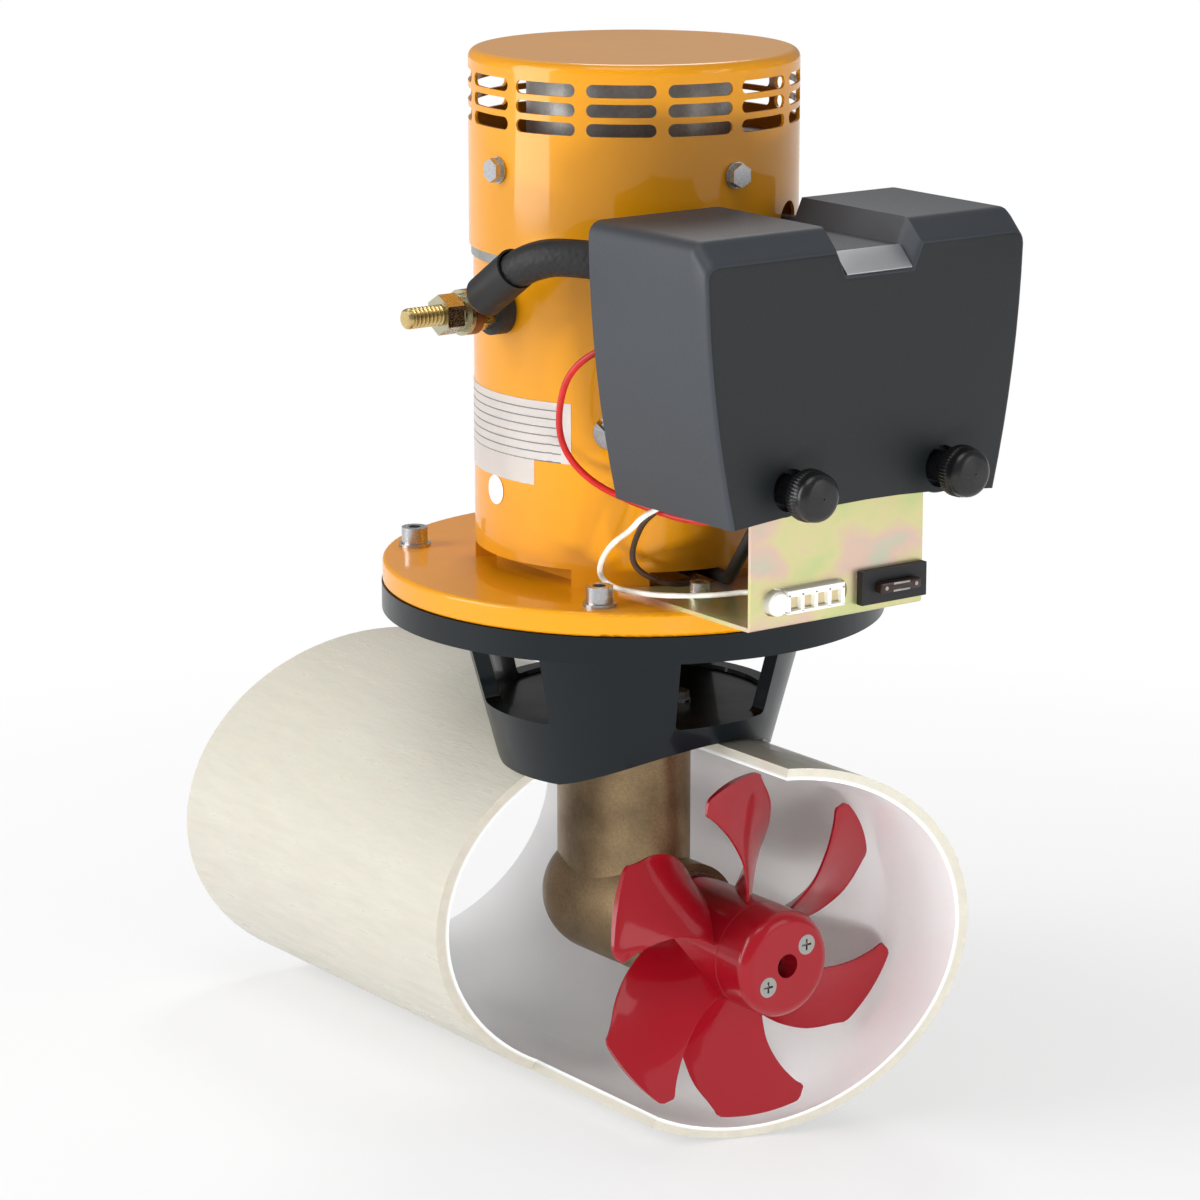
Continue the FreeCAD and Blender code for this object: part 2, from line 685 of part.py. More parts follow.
def sector(outer, inner, low, high, angle, middle):
    """A piece of a ring about Z, between two heights, centred on a direction."""
    whole = Part.makeCylinder(outer, high - low, Vector(0, 0, low), Vector(0, 0, 1), angle)
    hollow = Part.makeCylinder(inner, high - low, Vector(0, 0, low))
    return at_angle(whole.cut(hollow), middle - angle / 2)


def build_upper_bell():
    """Cast end bell: rim, drum with brush windows, bearing boss and four bolt posts."""
    boss_foot = f"({DRUM_TOP} - 3 - upper_bearing_wide)"
    boss = "(upper_bearing_outer / 2 + 4)"
    body = new_body("upper_bell")
    turned(body, [
        ("drum_radius - drum_wall", YOKE_TOP),
        ("motor_radius + 1", YOKE_TOP),
        ("motor_radius + 1", CAP_BASE),
        ("drum_radius", CAP_BASE),
        ("drum_radius", DRUM_TOP),
        ("shaft_radius + 3", DRUM_TOP),
        ("shaft_radius + 3", f"{DRUM_TOP} - 3"),
        ("upper_bearing_outer / 2", f"{DRUM_TOP} - 3"),
        ("upper_bearing_outer / 2", boss_foot),
        (boss, boss_foot),
        (boss, f"{DRUM_TOP} - drum_wall"),
        ("drum_radius - drum_wall", f"{DRUM_TOP} - drum_wall"),
    ])
    post_height = f"({CAP_BASE} + cap_bolt_height)"
    post = new_sketch(body, "XY", f"{post_height} - 8")
    post_face = "(cap_radius - cap_wall - 0.5)"
    add_outline(post, [
        ("drum_radius - 2", "-8"), (post_face, "-8"), (post_face, "8"), ("drum_radius - 2", "8"),
    ])
    stood = raised(body, post, "16")
    patterned(body, stood, 4)
    brush_window = new_sketch(body, "XY", "commutator_high + 3")
    near, far, half = "(drum_radius - 14)", "(drum_radius + 10)", "brush_window_half"
    add_outline(brush_window, [
        (f"({near} + {half}) * cos(45)", f"({near} - {half}) * cos(45)"),
        (f"({far} + {half}) * cos(45)", f"({far} - {half}) * cos(45)"),
        (f"({far} - {half}) * cos(45)", f"({far} + {half}) * cos(45)"),
        (f"({near} - {half}) * cos(45)", f"({near} + {half}) * cos(45)"),
    ])
    opened = raised(body, brush_window, "commutator_high - commutator_low + 2", kind="Pocket")
    patterned(body, opened, 4)
    height = measure(post_height)
    bore = rod(3 + value["seat_gap"], Vector(value["drum_radius"] + 8, 0, height),
               Vector(value["cap_radius"], 0, height))
    holes = doc.addObject("Part::Feature", "PostHoles")
    holes.Shape = ringed(bore, QUARTERS)
    name_node(combined("Cut", body, holes), "upper_bell")
    up = Vector(0, 0, 1)
    shaft = value["shaft_radius"]
    made("motor_bearings", Part.makeCompound([
        bearing(shaft, value["motor_bearing_outer"] / 2, value["motor_bearing_wide"],
                up * measure(f"{PLATE_TOP} - hub_drop"), up),
        bearing(shaft, value["upper_bearing_outer"] / 2, value["upper_bearing_wide"],
                up * measure(boss_foot), up),
    ]))


def build_brush_gear():
    """Four carbon brushes in holders that stand in the drum's windows."""
    low, high = value["commutator_low"] + 5, value["commutator_high"] - 7
    mid = (low + high) / 2
    inner = value["commutator_radius"] + 0.3
    gap = value["seat_gap"]
    wide = value["brush_window_half"] - 3
    holder = Part.makeBox(24, 2 * wide, high - low, Vector(inner + 3, -wide, low))
    slot = Part.makeBox(40, 13 + 2 * gap, high - low - 6, Vector(inner, -6.5 - gap, low + 3))
    ears = Part.makeBox(4, 2 * value["brush_window_half"], 8,
                        Vector(value["drum_radius"] - 6, -value["brush_window_half"], mid - 4))
    holder = holder.fuse(ears).cut(slot)
    strip = Part.makeBox(1.2, 11, 15, Vector(inner + 18.1, -5.5, mid - 7.5))
    made("brush_holders", ringed(Part.makeCompound([holder, strip]), DIAGONALS))
    brush = Part.makeBox(18, 13, high - low - 6 - 2 * gap,
                         Vector(inner, -6.5, low + 3 + gap))
    brush = brush.cut(rod(inner, Vector(0, 0, low), Vector(0, 0, high)))
    made("carbon_brushes", ringed(brush, DIAGONALS))


def obround(sketch, along, height, half, radius):
    """A slot outline: two half circles joined by two straight lines."""
    x0, y0 = measure(along), measure(height)
    reach, round_by = measure(half), measure(radius)
    left, right = x0 - reach + round_by, x0 + reach - round_by
    first = sketch.GeometryCount
    corners = [Vector(left, y0 - round_by, 0), Vector(right, y0 - round_by, 0),
               Vector(right, y0 + round_by, 0), Vector(left, y0 + round_by, 0)]
    normal = Vector(0, 0, 1)
    sketch.addGeometry(Part.LineSegment(corners[0], corners[1]), False)
    sketch.addGeometry(Part.ArcOfCircle(Part.Circle(Vector(right, y0, 0), normal, round_by),
                                        -math.pi / 2, math.pi / 2), False)
    sketch.addGeometry(Part.LineSegment(corners[2], corners[3]), False)
    sketch.addGeometry(Part.ArcOfCircle(Part.Circle(Vector(left, y0, 0), normal, round_by),
                                        math.pi / 2, 3 * math.pi / 2), False)
    for i in range(4):
        after = first + (i + 1) % 4
        sketch.addConstraint(Sketcher.Constraint("Tangent", first + i, 2, after, 1))
    bind(sketch, "Radius", first + 1, round_by, to=radius)
    bind(sketch, "DistanceX", first + 1, 3, right, to=f"{along} + {half} - {radius}")
    bind(sketch, "DistanceY", first + 1, 3, y0, to=height)
    bind(sketch, "DistanceX", first + 3, 3, left, to=f"{along} - {half} + {radius}")
    bind(sketch, "DistanceY", first + 3, 3, y0, to=height)


def build_fan_cover():
    """Pressed cap with three rows of cooling slots, bolt holes and a cable notch."""
    body = new_body("fan_cover")
    shell = turned(body, [
        ("cap_radius - cap_wall", CAP_BASE),
        ("cap_radius", CAP_BASE),
        ("cap_radius", CAP_TOP),
        ("0", CAP_TOP),
        ("0", f"{CAP_TOP} - cap_wall"),
        ("cap_radius - cap_wall", f"{CAP_TOP} - cap_wall"),
    ])
    top, rim = measure(CAP_TOP), value["cap_radius"]
    eased(body, shell, "cap_edge", lambda edge: is_circle(edge, radius=rim, height=top))
    slots = new_sketch(body, "XZ")
    for row in range(3):
        level = f"({CAP_BASE} + slot_first - {row} * slot_step)"
        obround(slots, "0", level, "cap_radius * sin(slot_degrees / 2)", "slot_high / 2")
    cut = raised(body, slots, BIG / 2, kind="Pocket")
    patterned(body, cut, 13)
    body.Placement = Placement(Vector(), Rotation(Vector(0, 0, 1), value["slot_phase"]))
    bolt_height = measure(CAP_BASE) + value["cap_bolt_height"]
    bore = rod(3.2, Vector(rim - 8, 0, bolt_height), Vector(rim + 5, 0, bolt_height))
    notch = rod(value["notch_half"], Vector(rim - 8, 0, measure(CAP_BASE) + 14),
                Vector(rim + 5, 0, measure(CAP_BASE) + 14))
    notch = notch.fuse(Part.makeBox(13, 2 * value["notch_half"], 15,
                                    Vector(rim - 8, -value["notch_half"],
                                           measure(CAP_BASE) - 1)))
    holes = doc.addObject("Part::Feature", "CapHoles")
    holes.Shape = Part.makeCompound([ringed(bore, QUARTERS),
                                     at_angle(notch, value["notch_angle"])])
    name_node(combined("Cut", body, holes), "fan_cover")
    bolt = hex_bolt(6, 12, 10)
    placed = facing(bolt, Vector(1, 0, 0), Vector(rim, 0, bolt_height))
    made("fan_cover_bolts", ringed(placed, QUARTERS))


def build_rotor():
    """Motor shaft with its armature, windings, commutator and cooling fan."""
    shaft = new_body("motor_shaft")
    bar = turned(shaft, [
        ("0", "motor_shaft_foot"),
        ("shaft_radius", "motor_shaft_foot"),
        ("shaft_radius", f"{DRUM_TOP} - 1"),
        ("0", f"{DRUM_TOP} - 1"),
    ])
    eased(shaft, bar, "1", lambda edge: is_circle(edge, radius=value["shaft_radius"]),
          kind="Chamfer")
    name_node(shaft, "motor_shaft")

    core = new_body("armature_core")
    stack = new_sketch(core, "XY", "armature_low")
    add_circle(stack, "0", "0", "armature_radius")
    add_circle(stack, "0", "0", "shaft_radius + seat_gap")
    raised(core, stack, "armature_high - armature_low")
    slot = new_sketch(core, "XY", "armature_high")
    add_outline(slot, [
        ("armature_radius - 9", "-1.6"), ("armature_radius + 2", "-1.6"),
        ("armature_radius + 2", "1.6"), ("armature_radius - 9", "1.6"),
    ])
    cut = raised(core, slot, "armature_high - armature_low", kind="Pocket")
    patterned(core, cut, 16)
    name_node(core, "armature_core")

    heads = []
    for face, way in ((value["armature_high"], 1), (value["armature_low"], -1)):
        axis = Vector(0, 0, way)
        base = Vector(0, 0, face)
        head = Part.makeCone(value["armature_radius"] - 1, 26, 15, base, axis)
        heads.append(head.cut(rod(16, base, base + axis * 15)))
    made("armature_windings", Part.makeCompound(heads))

    ring = new_body("commutator")
    turned(ring, [
        ("shaft_radius + seat_gap", "commutator_low"),
        ("commutator_radius + 2.5", "commutator_low"),
        ("commutator_radius + 2.5", "commutator_low + 3"),
        ("commutator_radius", "commutator_low + 3"),
        ("commutator_radius", "commutator_high"),
        ("shaft_radius + seat_gap", "commutator_high"),
    ])
    groove = new_sketch(ring, "XY", "commutator_high")
    add_outline(groove, [
        ("commutator_radius - 1", "-0.4"), ("commutator_radius + 4", "-0.4"),
        ("commutator_radius + 4", "0.4"), ("commutator_radius - 1", "0.4"),
    ])
    cut = raised(ring, groove, "commutator_high - commutator_low", kind="Pocket")
    patterned(ring, cut, 24)
    name_node(ring, "commutator")


def build_terminal_stud():
    """Brass stud through the yoke, with its insulator, nuts and washers."""
    height = value["stud_height"]
    skin = value["motor_radius"]
    radius = value["stud_radius"]

    def at(reach):
        return Vector(0, -reach, height)

    nut_face = value["nut_face"]
    stud = rod(radius, at(skin - 12), at(nut_face))
    stud = stud.fuse(rod(radius * 0.84, at(nut_face), at(nut_face + 0.8)))
    stud = stud.fuse(rod(radius, at(nut_face + 0.8), at(value["stud_reach"] - 1)))
    tip = Part.makeCone(radius, radius - 1, 1, at(value["stud_reach"] - 1), Vector(0, -1, 0))
    made("terminal_stud", stud.fuse(tip))
    flange = skin + 8
    bush = rod(value["insulator_radius"], at(skin - 8), at(flange)).fuse(
        rod(value["insulator_radius"] + 3.5, at(skin + 0.6), at(flange)))
    made("stud_insulator", bush.cut(rod(radius + 0.1, at(skin - 10), at(flange + 1))))
    bore = rod(radius + 0.05, at(skin), at(nut_face + 1))
    nuts = Part.makeCompound([
        hexagon(17, at(flange), at(nut_face - 19.5), turn=30).cut(bore),
        rod(11, at(nut_face - 14.5), at(nut_face - 12.2)).cut(bore),
        rod(9, at(nut_face - 12.2), at(nut_face - 9.5)).cut(bore),
        hexagon(17, at(nut_face - 9.5), at(nut_face), turn=30).cut(bore),
    ])
    made("stud_nuts", nuts)


# ---- the coupling and the drive shaft -------------------------------------------------

def build_coupling():
    """Two jaw halves with a rubber spider between them, and the drive shaft below."""
    outer = value["coupling_radius"]
    split = value["coupling_split"]
    gap = value["seat_gap"]
    jaw = sector(outer, outer / 2, split + 0.3, split + 7.6, 40, 60)
    upper = tube(outer, value["shaft_radius"] + gap, Vector(0, 0, split + 8),
                 Vector(0, 0, value["coupling_top"]))
    teeth = [at_angle(shifted(jaw, 0, 0, 0.4), angle) for angle in (-60, 60, 180)]
    made("coupling_upper", upper.multiFuse(teeth))

    star = sector(outer - 0.5, outer / 2 - 0.4, split + 0.4, split + 7.6, 19, 30)
    spider = tube(outer / 2 - 0.2, outer / 4, Vector(0, 0, split + 0.4),
                  Vector(0, 0, split + 7.6))
    lobes = [at_angle(star, 60 * i) for i in range(6)]
    made("coupling_spider", spider.multiFuse(lobes))

    foot = value["coupling_foot"]
    lower = rod(outer * 0.75, Vector(0, 0, foot), Vector(0, 0, split - 6))
    lower = lower.fuse(rod(outer, Vector(0, 0, split - 6), Vector(0, 0, split)))
    lower_jaw = sector(outer, outer / 2, split, split + 7.6, 40, 60)
    lower = lower.multiFuse([at_angle(lower_jaw, angle) for angle in (0, 120, 240)])
    shaft_top = split - 4
    bore = rod(value["drive_radius"] + gap, Vector(0, 0, foot), Vector(0, 0, shaft_top + gap))
    made("coupling_lower", lower.cut(bore))

    shaft = rod(value["drive_radius"], Vector(0, 0, value["drive_step"]),
                Vector(0, 0, shaft_top))
    journal = rod(value["pinion_bore"], Vector(0, 0, value["drive_step"] - 11),
                  Vector(0, 0, value["drive_step"]))
    made("drive_shaft", shaft.fuse(journal))


def involute(angle):
    return math.tan(angle) - angle


def bevel_tooth(teeth, other):
    """One straight bevel tooth about Z, its tip towards +X, with the apex at the origin.

    The profile stands on the back cone and runs towards the apex, so each flank is ruled.
    """
    module = value["tooth_module"]
    cone = math.atan2(teeth, other)
    radius = teeth * module / 2
    virtual = radius / math.cos(cone)
    base = virtual * math.cos(math.radians(20))
    half_pitch = math.pi / 2 / (2 * virtual / module) - 0.09 / virtual
    flank = []
    for i in range(5):
        reach = virtual + module * (-0.9 + 1.9 * i / 4)
        pressure = math.acos(min(1, base / reach))
        half = half_pitch + involute(math.radians(20)) - involute(pressure)
        flank.append((reach * math.cos(half) - virtual, reach * math.sin(half)))
    foot = (-1.35 * module, flank[0][1] + 0.1)
    profile = [foot] + flank + [(n, -t) for n, t in reversed([foot] + flank)]
    outward = Vector(math.cos(cone), 0, -math.sin(cone))
    pitch_point = Vector(radius, 0, radius / math.tan(cone))
    large = [pitch_point + outward * n + Vector(0, t, 0) for n, t in profile]
    large.append(large[0])
    share = 1 - value["tooth_face"]
    wires = [Part.makePolygon([point * scale for point in large]) for scale in (share, 1)]
    return Part.makeLoft(wires, True, True)


def bevel_gear(teeth, other, back, bore, phase):
    """Straight bevel gear about Z: root cone, teeth and bore."""
    module = value["tooth_module"]
    cone = math.atan2(teeth, other)
    radius = teeth * module / 2
    drop = 1.25 * module
    root = Vector(radius - drop * math.cos(cone), 0,
                  radius / math.tan(cone) + drop * math.sin(cone))
    inner = root * (1 - value["tooth_face"])
    corners = [Vector(bore, 0, inner.z), inner, root, Vector(root.x, 0, back),
               Vector(bore, 0, back)]
    blank = Part.Face(Part.makePolygon(corners + corners[:1])).revolve(
        Vector(), Vector(0, 0, 1), 360)
    tooth = bevel_tooth(teeth, other)
    pitch = 360 / teeth
    return blank.multiFuse([at_angle(tooth, phase + pitch * i) for i in range(teeth)])


def build_bevel_pair():
    """Pinion on the drive shaft and wheel on the propeller shaft, set in mesh."""
    few, many = int(value["pinion_teeth"]), int(value["crown_teeth"])
    gap = value["seat_gap"]
    pinion = bevel_gear(few, many, value["drive_step"] - gap, value["pinion_bore"] + gap, 0)
    made("bevel_pinion", pinion)
    crown = bevel_gear(many, few, value["crown_back"], value["drive_radius"] + gap,
                       180 / many)
    to_x = Placement(Vector(), Rotation(Vector(0, 0, 1), Vector(0, 1, 0), Vector(1, 0, 0)))
    crown.Placement = to_x.multiply(crown.Placement)
    made("bevel_wheel", crown)


# ---- the leg --------------------------------------------------------------------------

def build_leg():
    """Gear housing with an oval strut, its bearings, seals and bearing cap."""
    ball = primitive("Sphere", place=("-bulb_rear", "0", "0"), Radius="bulb_radius")
    barrel = primitive("Cylinder", place=("-bulb_rear", "0", "0"), rotation=TO_X,
                       Radius="bulb_radius", Height="bulb_rear + bulb_front")
    strut = leg_column("0", "0", "leg_top")
    solid = combined("MultiFuse", ball, barrel, strut)
    chamber = primitive("Cylinder", place=("-20", "0", "0"), rotation=TO_X,
                        Radius="chamber_radius", Height="bulb_front + 21")
    tail_seat = primitive("Cylinder", place=("-bulb_rear - 11", "0", "0"), rotation=TO_X,
                          Radius="14", Height="bulb_rear")
    upper_seat = primitive("Cylinder", place=("0", "0", "leg_top - 19"),
                           Radius="leg_bearing_outer / 2", Height="20")
    lower_seat = primitive("Cylinder", Radius="leg_bearing_outer / 2",
                           Height="drive_step + 13")
    waist = primitive("Cylinder", Radius="leg_bearing_outer / 2 - 2", Height="leg_top")
    cutters = [chamber, tail_seat, upper_seat, lower_seat, waist]
    for along, across in LEG_BOLTS:
        cutters.append(primitive(
            "Cylinder", place=(f"leg_centre + {along}", str(across), "leg_top - 18"),
            Radius="leg_bolt / 2 + seat_gap", Height="20"))
    bores = combined("MultiFuse", *cutters)
    name_node(combined("Cut", solid, bores), "tailpiece_housing")

    top = measure(FLOOR_TOP)
    bolt = hex_bolt(value["leg_bolt"], value["floor_thick"] + 16, 10)
    made("tailpiece_bolts", Part.makeCompound([
        shifted(bolt, value["leg_centre"] + along, across, top) for along, across in LEG_BOLTS]))

    up, ahead = Vector(0, 0, 1), Vector(1, 0, 0)
    shaft, outer = value["drive_radius"], value["leg_bearing_outer"] / 2
    cap_rear = value["crown_back"] + 0.5
    made("leg_bearings", Part.makeCompound([
        bearing(shaft, outer, 11, up * (value["drive_step"] + 2), up),
        bearing(shaft, outer, 11, up * (value["leg_top"] - 19), up),
        bearing(shaft, outer, 11, ahead * cap_rear, ahead),
        bearing(value["tail_radius"], 14, 8, ahead * (-value["bulb_rear"] - 11), ahead),
    ]))
    seal_end = value["bulb_front"] + 4
    gap = value["seat_gap"]
    made("shaft_seals", Part.makeCompound([
        tube(outer - gap, shaft + gap, up * (value["leg_top"] - 7.5), up * value["leg_top"]),
        tube(15 - gap, shaft + gap, ahead * (seal_end - 7), ahead * seal_end),
    ]))
    cap = new_body("bearing_cap")
    turned(cap, [
        ("crown_back + 0.5", "leg_bearing_outer / 2"),
        ("crown_back + 0.5", "chamber_radius - seat_gap"),
        ("bulb_front + 5", "chamber_radius - seat_gap"),
        ("bulb_front + 5", "15"),
        ("bulb_front - 3", "15"),
        ("bulb_front - 3", "drive_radius + 2"),
        ("crown_back + 11.5", "drive_radius + 2"),
        ("crown_back + 11.5", "leg_bearing_outer / 2"),
    ], axis="X")
    name_node(cap, "bearing_cap")


# ---- the propeller --------------------------------------------------------------------

# radius, width across, reach along the shaft, place along the shaft, thickness
BLADE_SECTIONS = [
    (0.24, 22, 38, 80, 8, -22),
    (0.37, 26, 35, 82, 7, -20),
    (0.53, 33, 30, 85, 5.5, -16.5),
    (0.69, 41, 24, 88, 4.2, -11),
    (0.83, 46, 19, 90.5, 3.2, -5.5),
    (0.963, 47, 15, 92.5, 2.4, 0),
    (1.05, 46, 14, 93, 2.2, 2),
]


def blade_section(radius, across, along, middle, thick):
    """Lens-shaped outline of a blade that stands along +Y, at one radius."""
    chord = Vector(along, 0, across)
    length = chord.Length
    chord.normalize()
    normal = Vector(chord.z, 0, -chord.x)
    centre = Vector(middle, radius, 0)
    sides = []
    for way in (1, -1):
        points = []
        for i in range(5):
            share = -1 + i / 2
            rise = way * thick / 2 * (1 - share * share) + 0.2 * way
            points.append(centre + chord * (share * way * length / 2) + normal * rise)
        curve = Part.BSplineCurve()
        curve.interpolate(points)
        sides.append(curve)
    first, second = sides
    ends = [(first.EndPoint, second.StartPoint), (second.EndPoint, first.StartPoint)]
    edges = [first.toShape(), Part.LineSegment(*ends[0]).toShape(),
             second.toShape(), Part.LineSegment(*ends[1]).toShape()]
    return Part.Wire(edges)


def build_propeller():
    """Six-bladed propeller on its shaft, with drive pin, nut and hub cap."""
    tip = value["propeller_radius"]
    gap = value["seat_gap"]
    shaft_radius = value["drive_radius"]
    hub_rear, hub_front = value["hub_rear"], value["hub_front"]
    ahead = Vector(1, 0, 0)
    sections = [at_angle(blade_section(share * tip, across, along, middle, thick), skew, ahead)
                for share, across, along, middle, thick, skew in BLADE_SECTIONS]
    blade = Part.makeLoft(sections, True, False)
    reach = tube(tip, value["propeller_hub"] - 3, ahead * (hub_rear - 20),
                 ahead * (hub_front + 30))
    blade = at_angle(blade.common(reach), value["blade_phase"], ahead)
    count = int(value["blade_count"])
    blades = [at_angle(blade, 360 / count * i, ahead) for i in range(count)]
    hub = rod(value["propeller_hub"], ahead * hub_rear, ahead * hub_front)
    bore = rod(shaft_radius + gap, ahead * hub_rear, ahead * hub_front)
    pin_at = (hub_rear + hub_front) / 2
    pin_half = value["propeller_hub"] - 4
    pin = rod(2.5, Vector(pin_at, 0, -pin_half), Vector(pin_at, 0, pin_half))
    pin_hole = rod(2.5 + gap, Vector(pin_at, 0, -pin_half - gap),
                   Vector(pin_at, 0, pin_half + gap))
    made("propeller", hub.multiFuse(blades).cut(bore).cut(pin_hole))
    made("drive_pin", pin)

    shaft = rod(shaft_radius, ahead * (-value["bulb_rear"] - 2), ahead * (hub_front - 3))
    tail = rod(value["tail_radius"], ahead * (-value["bulb_rear"] - 10.5),
               ahead * (-value["bulb_rear"] - 2))
    thread = rod(5, ahead * (hub_front - 3), ahead * (hub_front + 9))
    made("propeller_shaft", shaft.fuse(tail).fuse(thread).cut(pin_hole))
    nut = hexagon(17, ahead * hub_front, ahead * (hub_front + 8))
    made("propeller_nut", nut.cut(rod(5 + gap, ahead * hub_front, ahead * (hub_front + 8))))

    cap = new_body("hub_cap")
    dome = turned(cap, [
        ("hub_front", "11"),
        ("hub_front", "propeller_hub"),
        (CAP_FRONT, "propeller_hub"),
        (CAP_FRONT, "6"),
        ("hub_front + 10", "6"),
        ("hub_front + 10", "11"),
    ], axis="X")
    eased(cap, dome, "hub_cap_edge",
          lambda edge: is_circle(edge, radius=value["propeller_hub"], x=measure(CAP_FRONT)))
    head, thread_size = value["cap_screw_head"], 5
    front = measure(CAP_FRONT)
    places = [Vector(front, side * 11.7, side * 8.6) for side in (1, -1)]
    hole = countersunk(head + 2 * gap, thread_size + 2 * gap, 30, slot=False)
    holes = doc.addObject("Part::Feature", "HubCapHoles")
    holes.Shape = Part.makeCompound([facing(hole, ahead, point) for point in places])
    name_node(combined("Cut", cap, holes), "hub_cap")
    cross = countersunk(head, thread_size, value["hub_cap_length"] - 1, slot=False)
    for wide, long in ((5.6, 1.1), (1.1, 5.6)):
        cross = cross.cut(Part.makeBox(wide, long, 1.6, Vector(-wide / 2, -long / 2, -1.6)))
    made("hub_cap_screws", Part.makeCompound([facing(cross, ahead, point) for point in places]))


# ---- the bracket, its connectors and the solenoid -------------------------------------

def build_bracket():
    """Sheet bracket: a foot on the mounting plate and an upright with its openings."""
    body = new_body("control_bracket")
    foot = new_sketch(body, "XY", PLATE_TOP)
    add_outline(foot, [
        ("bracket_rear", "-bracket_left"), ("bracket_front", "-bracket_left"),
        ("bracket_front", "bracket_right"), ("bracket_rear", "bracket_right"),
    ])
    raised(body, foot, "bracket_sheet")
    upright = new_sketch(body, "YZ", "bracket_front")
    high = f"({PLATE_TOP} + bracket_high)"
    add_outline(upright, [
        ("-bracket_left", PLATE_TOP), ("bracket_right", PLATE_TOP),
        ("bracket_right", high), ("-bracket_left", high),
    ])
    stood = raised(body, upright, "bracket_sheet", reverse=True)
    front, foot_level = value["bracket_front"], measure(PLATE_TOP)

    def is_bend(edge):
        centre = edge.CenterOfMass
        return abs(centre.x - front) < 0.01 and abs(centre.z - foot_level) < 0.01

    eased(body, stood, "bracket_sheet", is_bend)
    round_motor = new_sketch(body, "XY", f"{PLATE_TOP} + bracket_sheet")
    add_circle(round_motor, "0", "0", "motor_radius + 1.5")
    raised(body, round_motor, "bracket_sheet", kind="Pocket")
    for_screws = new_sketch(body, "XY", f"{PLATE_TOP} + bracket_sheet")
    for along, across in BRACKET_SCREWS:
        add_circle(for_screws, along, across, "3.3")
    raised(body, for_screws, "bracket_sheet", kind="Pocket")
    openings = new_sketch(body, "YZ", "bracket_front")
    obround(openings, "connector_middle", "connector_height", "25", "6.5")
    add_outline(openings, [
        ("fuse_middle - 10.7", "connector_height - 3.7"),
        ("fuse_middle + 10.7", "connector_height - 3.7"),
        ("fuse_middle + 10.7", "connector_height + 3.7"),
        ("fuse_middle - 10.7", "connector_height + 3.7"),
    ])
    for side in (-1, 1):
        add_circle(openings, f"cover_middle + {side} * knob_spacing / 2", "knob_height",
                   "stud_thread / 2 + seat_gap")
    body.Tip = raised(body, openings, "bracket_sheet", kind="Pocket")
    name_node(body, "control_bracket")

    low = measure(PLATE_TOP) + value["bracket_sheet"]
    screw = cap_screw(6, 9)
    made("bracket_screws", Part.makeCompound([
        shifted(screw, along, across, low) for along, across in BRACKET_SCREWS]))


def build_connectors():
    """Wire connector, fuse holder and fuse, plugged through the bracket."""
    front = value["bracket_front"]
    rear = front - value["bracket_sheet"]
    level = value["connector_height"]
    middle = value["connector_middle"]
    gap = value["seat_gap"]
    shell = Part.makeBox(20, 38, 12, Vector(rear - 13, middle - 17, level - 6))
    lug = rod(5.9, Vector(rear - 3, middle - 18, level), Vector(front + 3, middle - 18, level))
    shell = shell.fuse(lug)
    cavities = [rod(2.5, Vector(front, middle - 12 + 9.5 * i, level),
                    Vector(front + 6, middle - 12 + 9.5 * i, level)) for i in range(4)]
    made("connector_housing", shell.cut(Part.makeCompound(cavities)))

    fuse_at = value["fuse_middle"]
    holder = Part.makeBox(4, 39, 16, Vector(front, fuse_at - 19.5, level - 8))
    holder = holder.fuse(Part.makeBox(9, 21, 7, Vector(front - 9, fuse_at - 10.5, level - 3.5)))
    slot = Part.makeBox(15, 18 + 2 * gap, 4.8 + 2 * gap,
                        Vector(front - 6, fuse_at - 9 - gap, level - 2.4 - gap))
    made("fuse_holder", holder.cut(slot))
    fuse = Part.makeBox(11, 18, 4.8, Vector(front - 6 + gap, fuse_at - 9, level - 2.4))
    head = Part.makeBox(6, 24, 4.8, Vector(front + 4 + gap, fuse_at - 12, level - 2.4))
    made("fuse", fuse.fuse(head))


def build_solenoid():
    """Reversing solenoid on the rear of the bracket, with studs and bus bars."""
    rear = value["bracket_front"] - value["bracket_sheet"]
    low, high = value["solenoid_low"], value["solenoid_high"]
    block = Part.makeBox(46, 88, high - low, Vector(rear - 46, -42, low))
    waist = Part.makeBox(50, 8, 40, Vector(rear - 62, -2, low + 8))
    block = block.cut(waist)
    long_edges = [edge for edge in block.Edges
                  if edge.Length > high - low - 1 and abs(edge.CenterOfMass.x - rear) > 40]
    block = block.makeFillet(4, long_edges)
    made("solenoid_block", block)
    parts = []
    for across in (-30, -14, 18, 34):
        foot = Vector(rear - 23, across, high)
        parts.append(rod(4, foot, foot + Vector(0, 0, 14)))
        bore = rod(4, foot, foot + Vector(0, 0, 14))
        parts[-1] = parts[-1].fuse(
            hexagon(13, foot + Vector(0, 0, 2), foot + Vector(0, 0, 7)).cut(bore))
    for start in (-38, 10):
        bar = Part.makeBox(14, 32, 2, Vector(rear - 30, start, high))
        parts.append(bar)
    merged = parts[0].multiFuse(parts[1:])
    made("solenoid_terminals", merged)


# ---- the control box ------------------------------------------------------------------

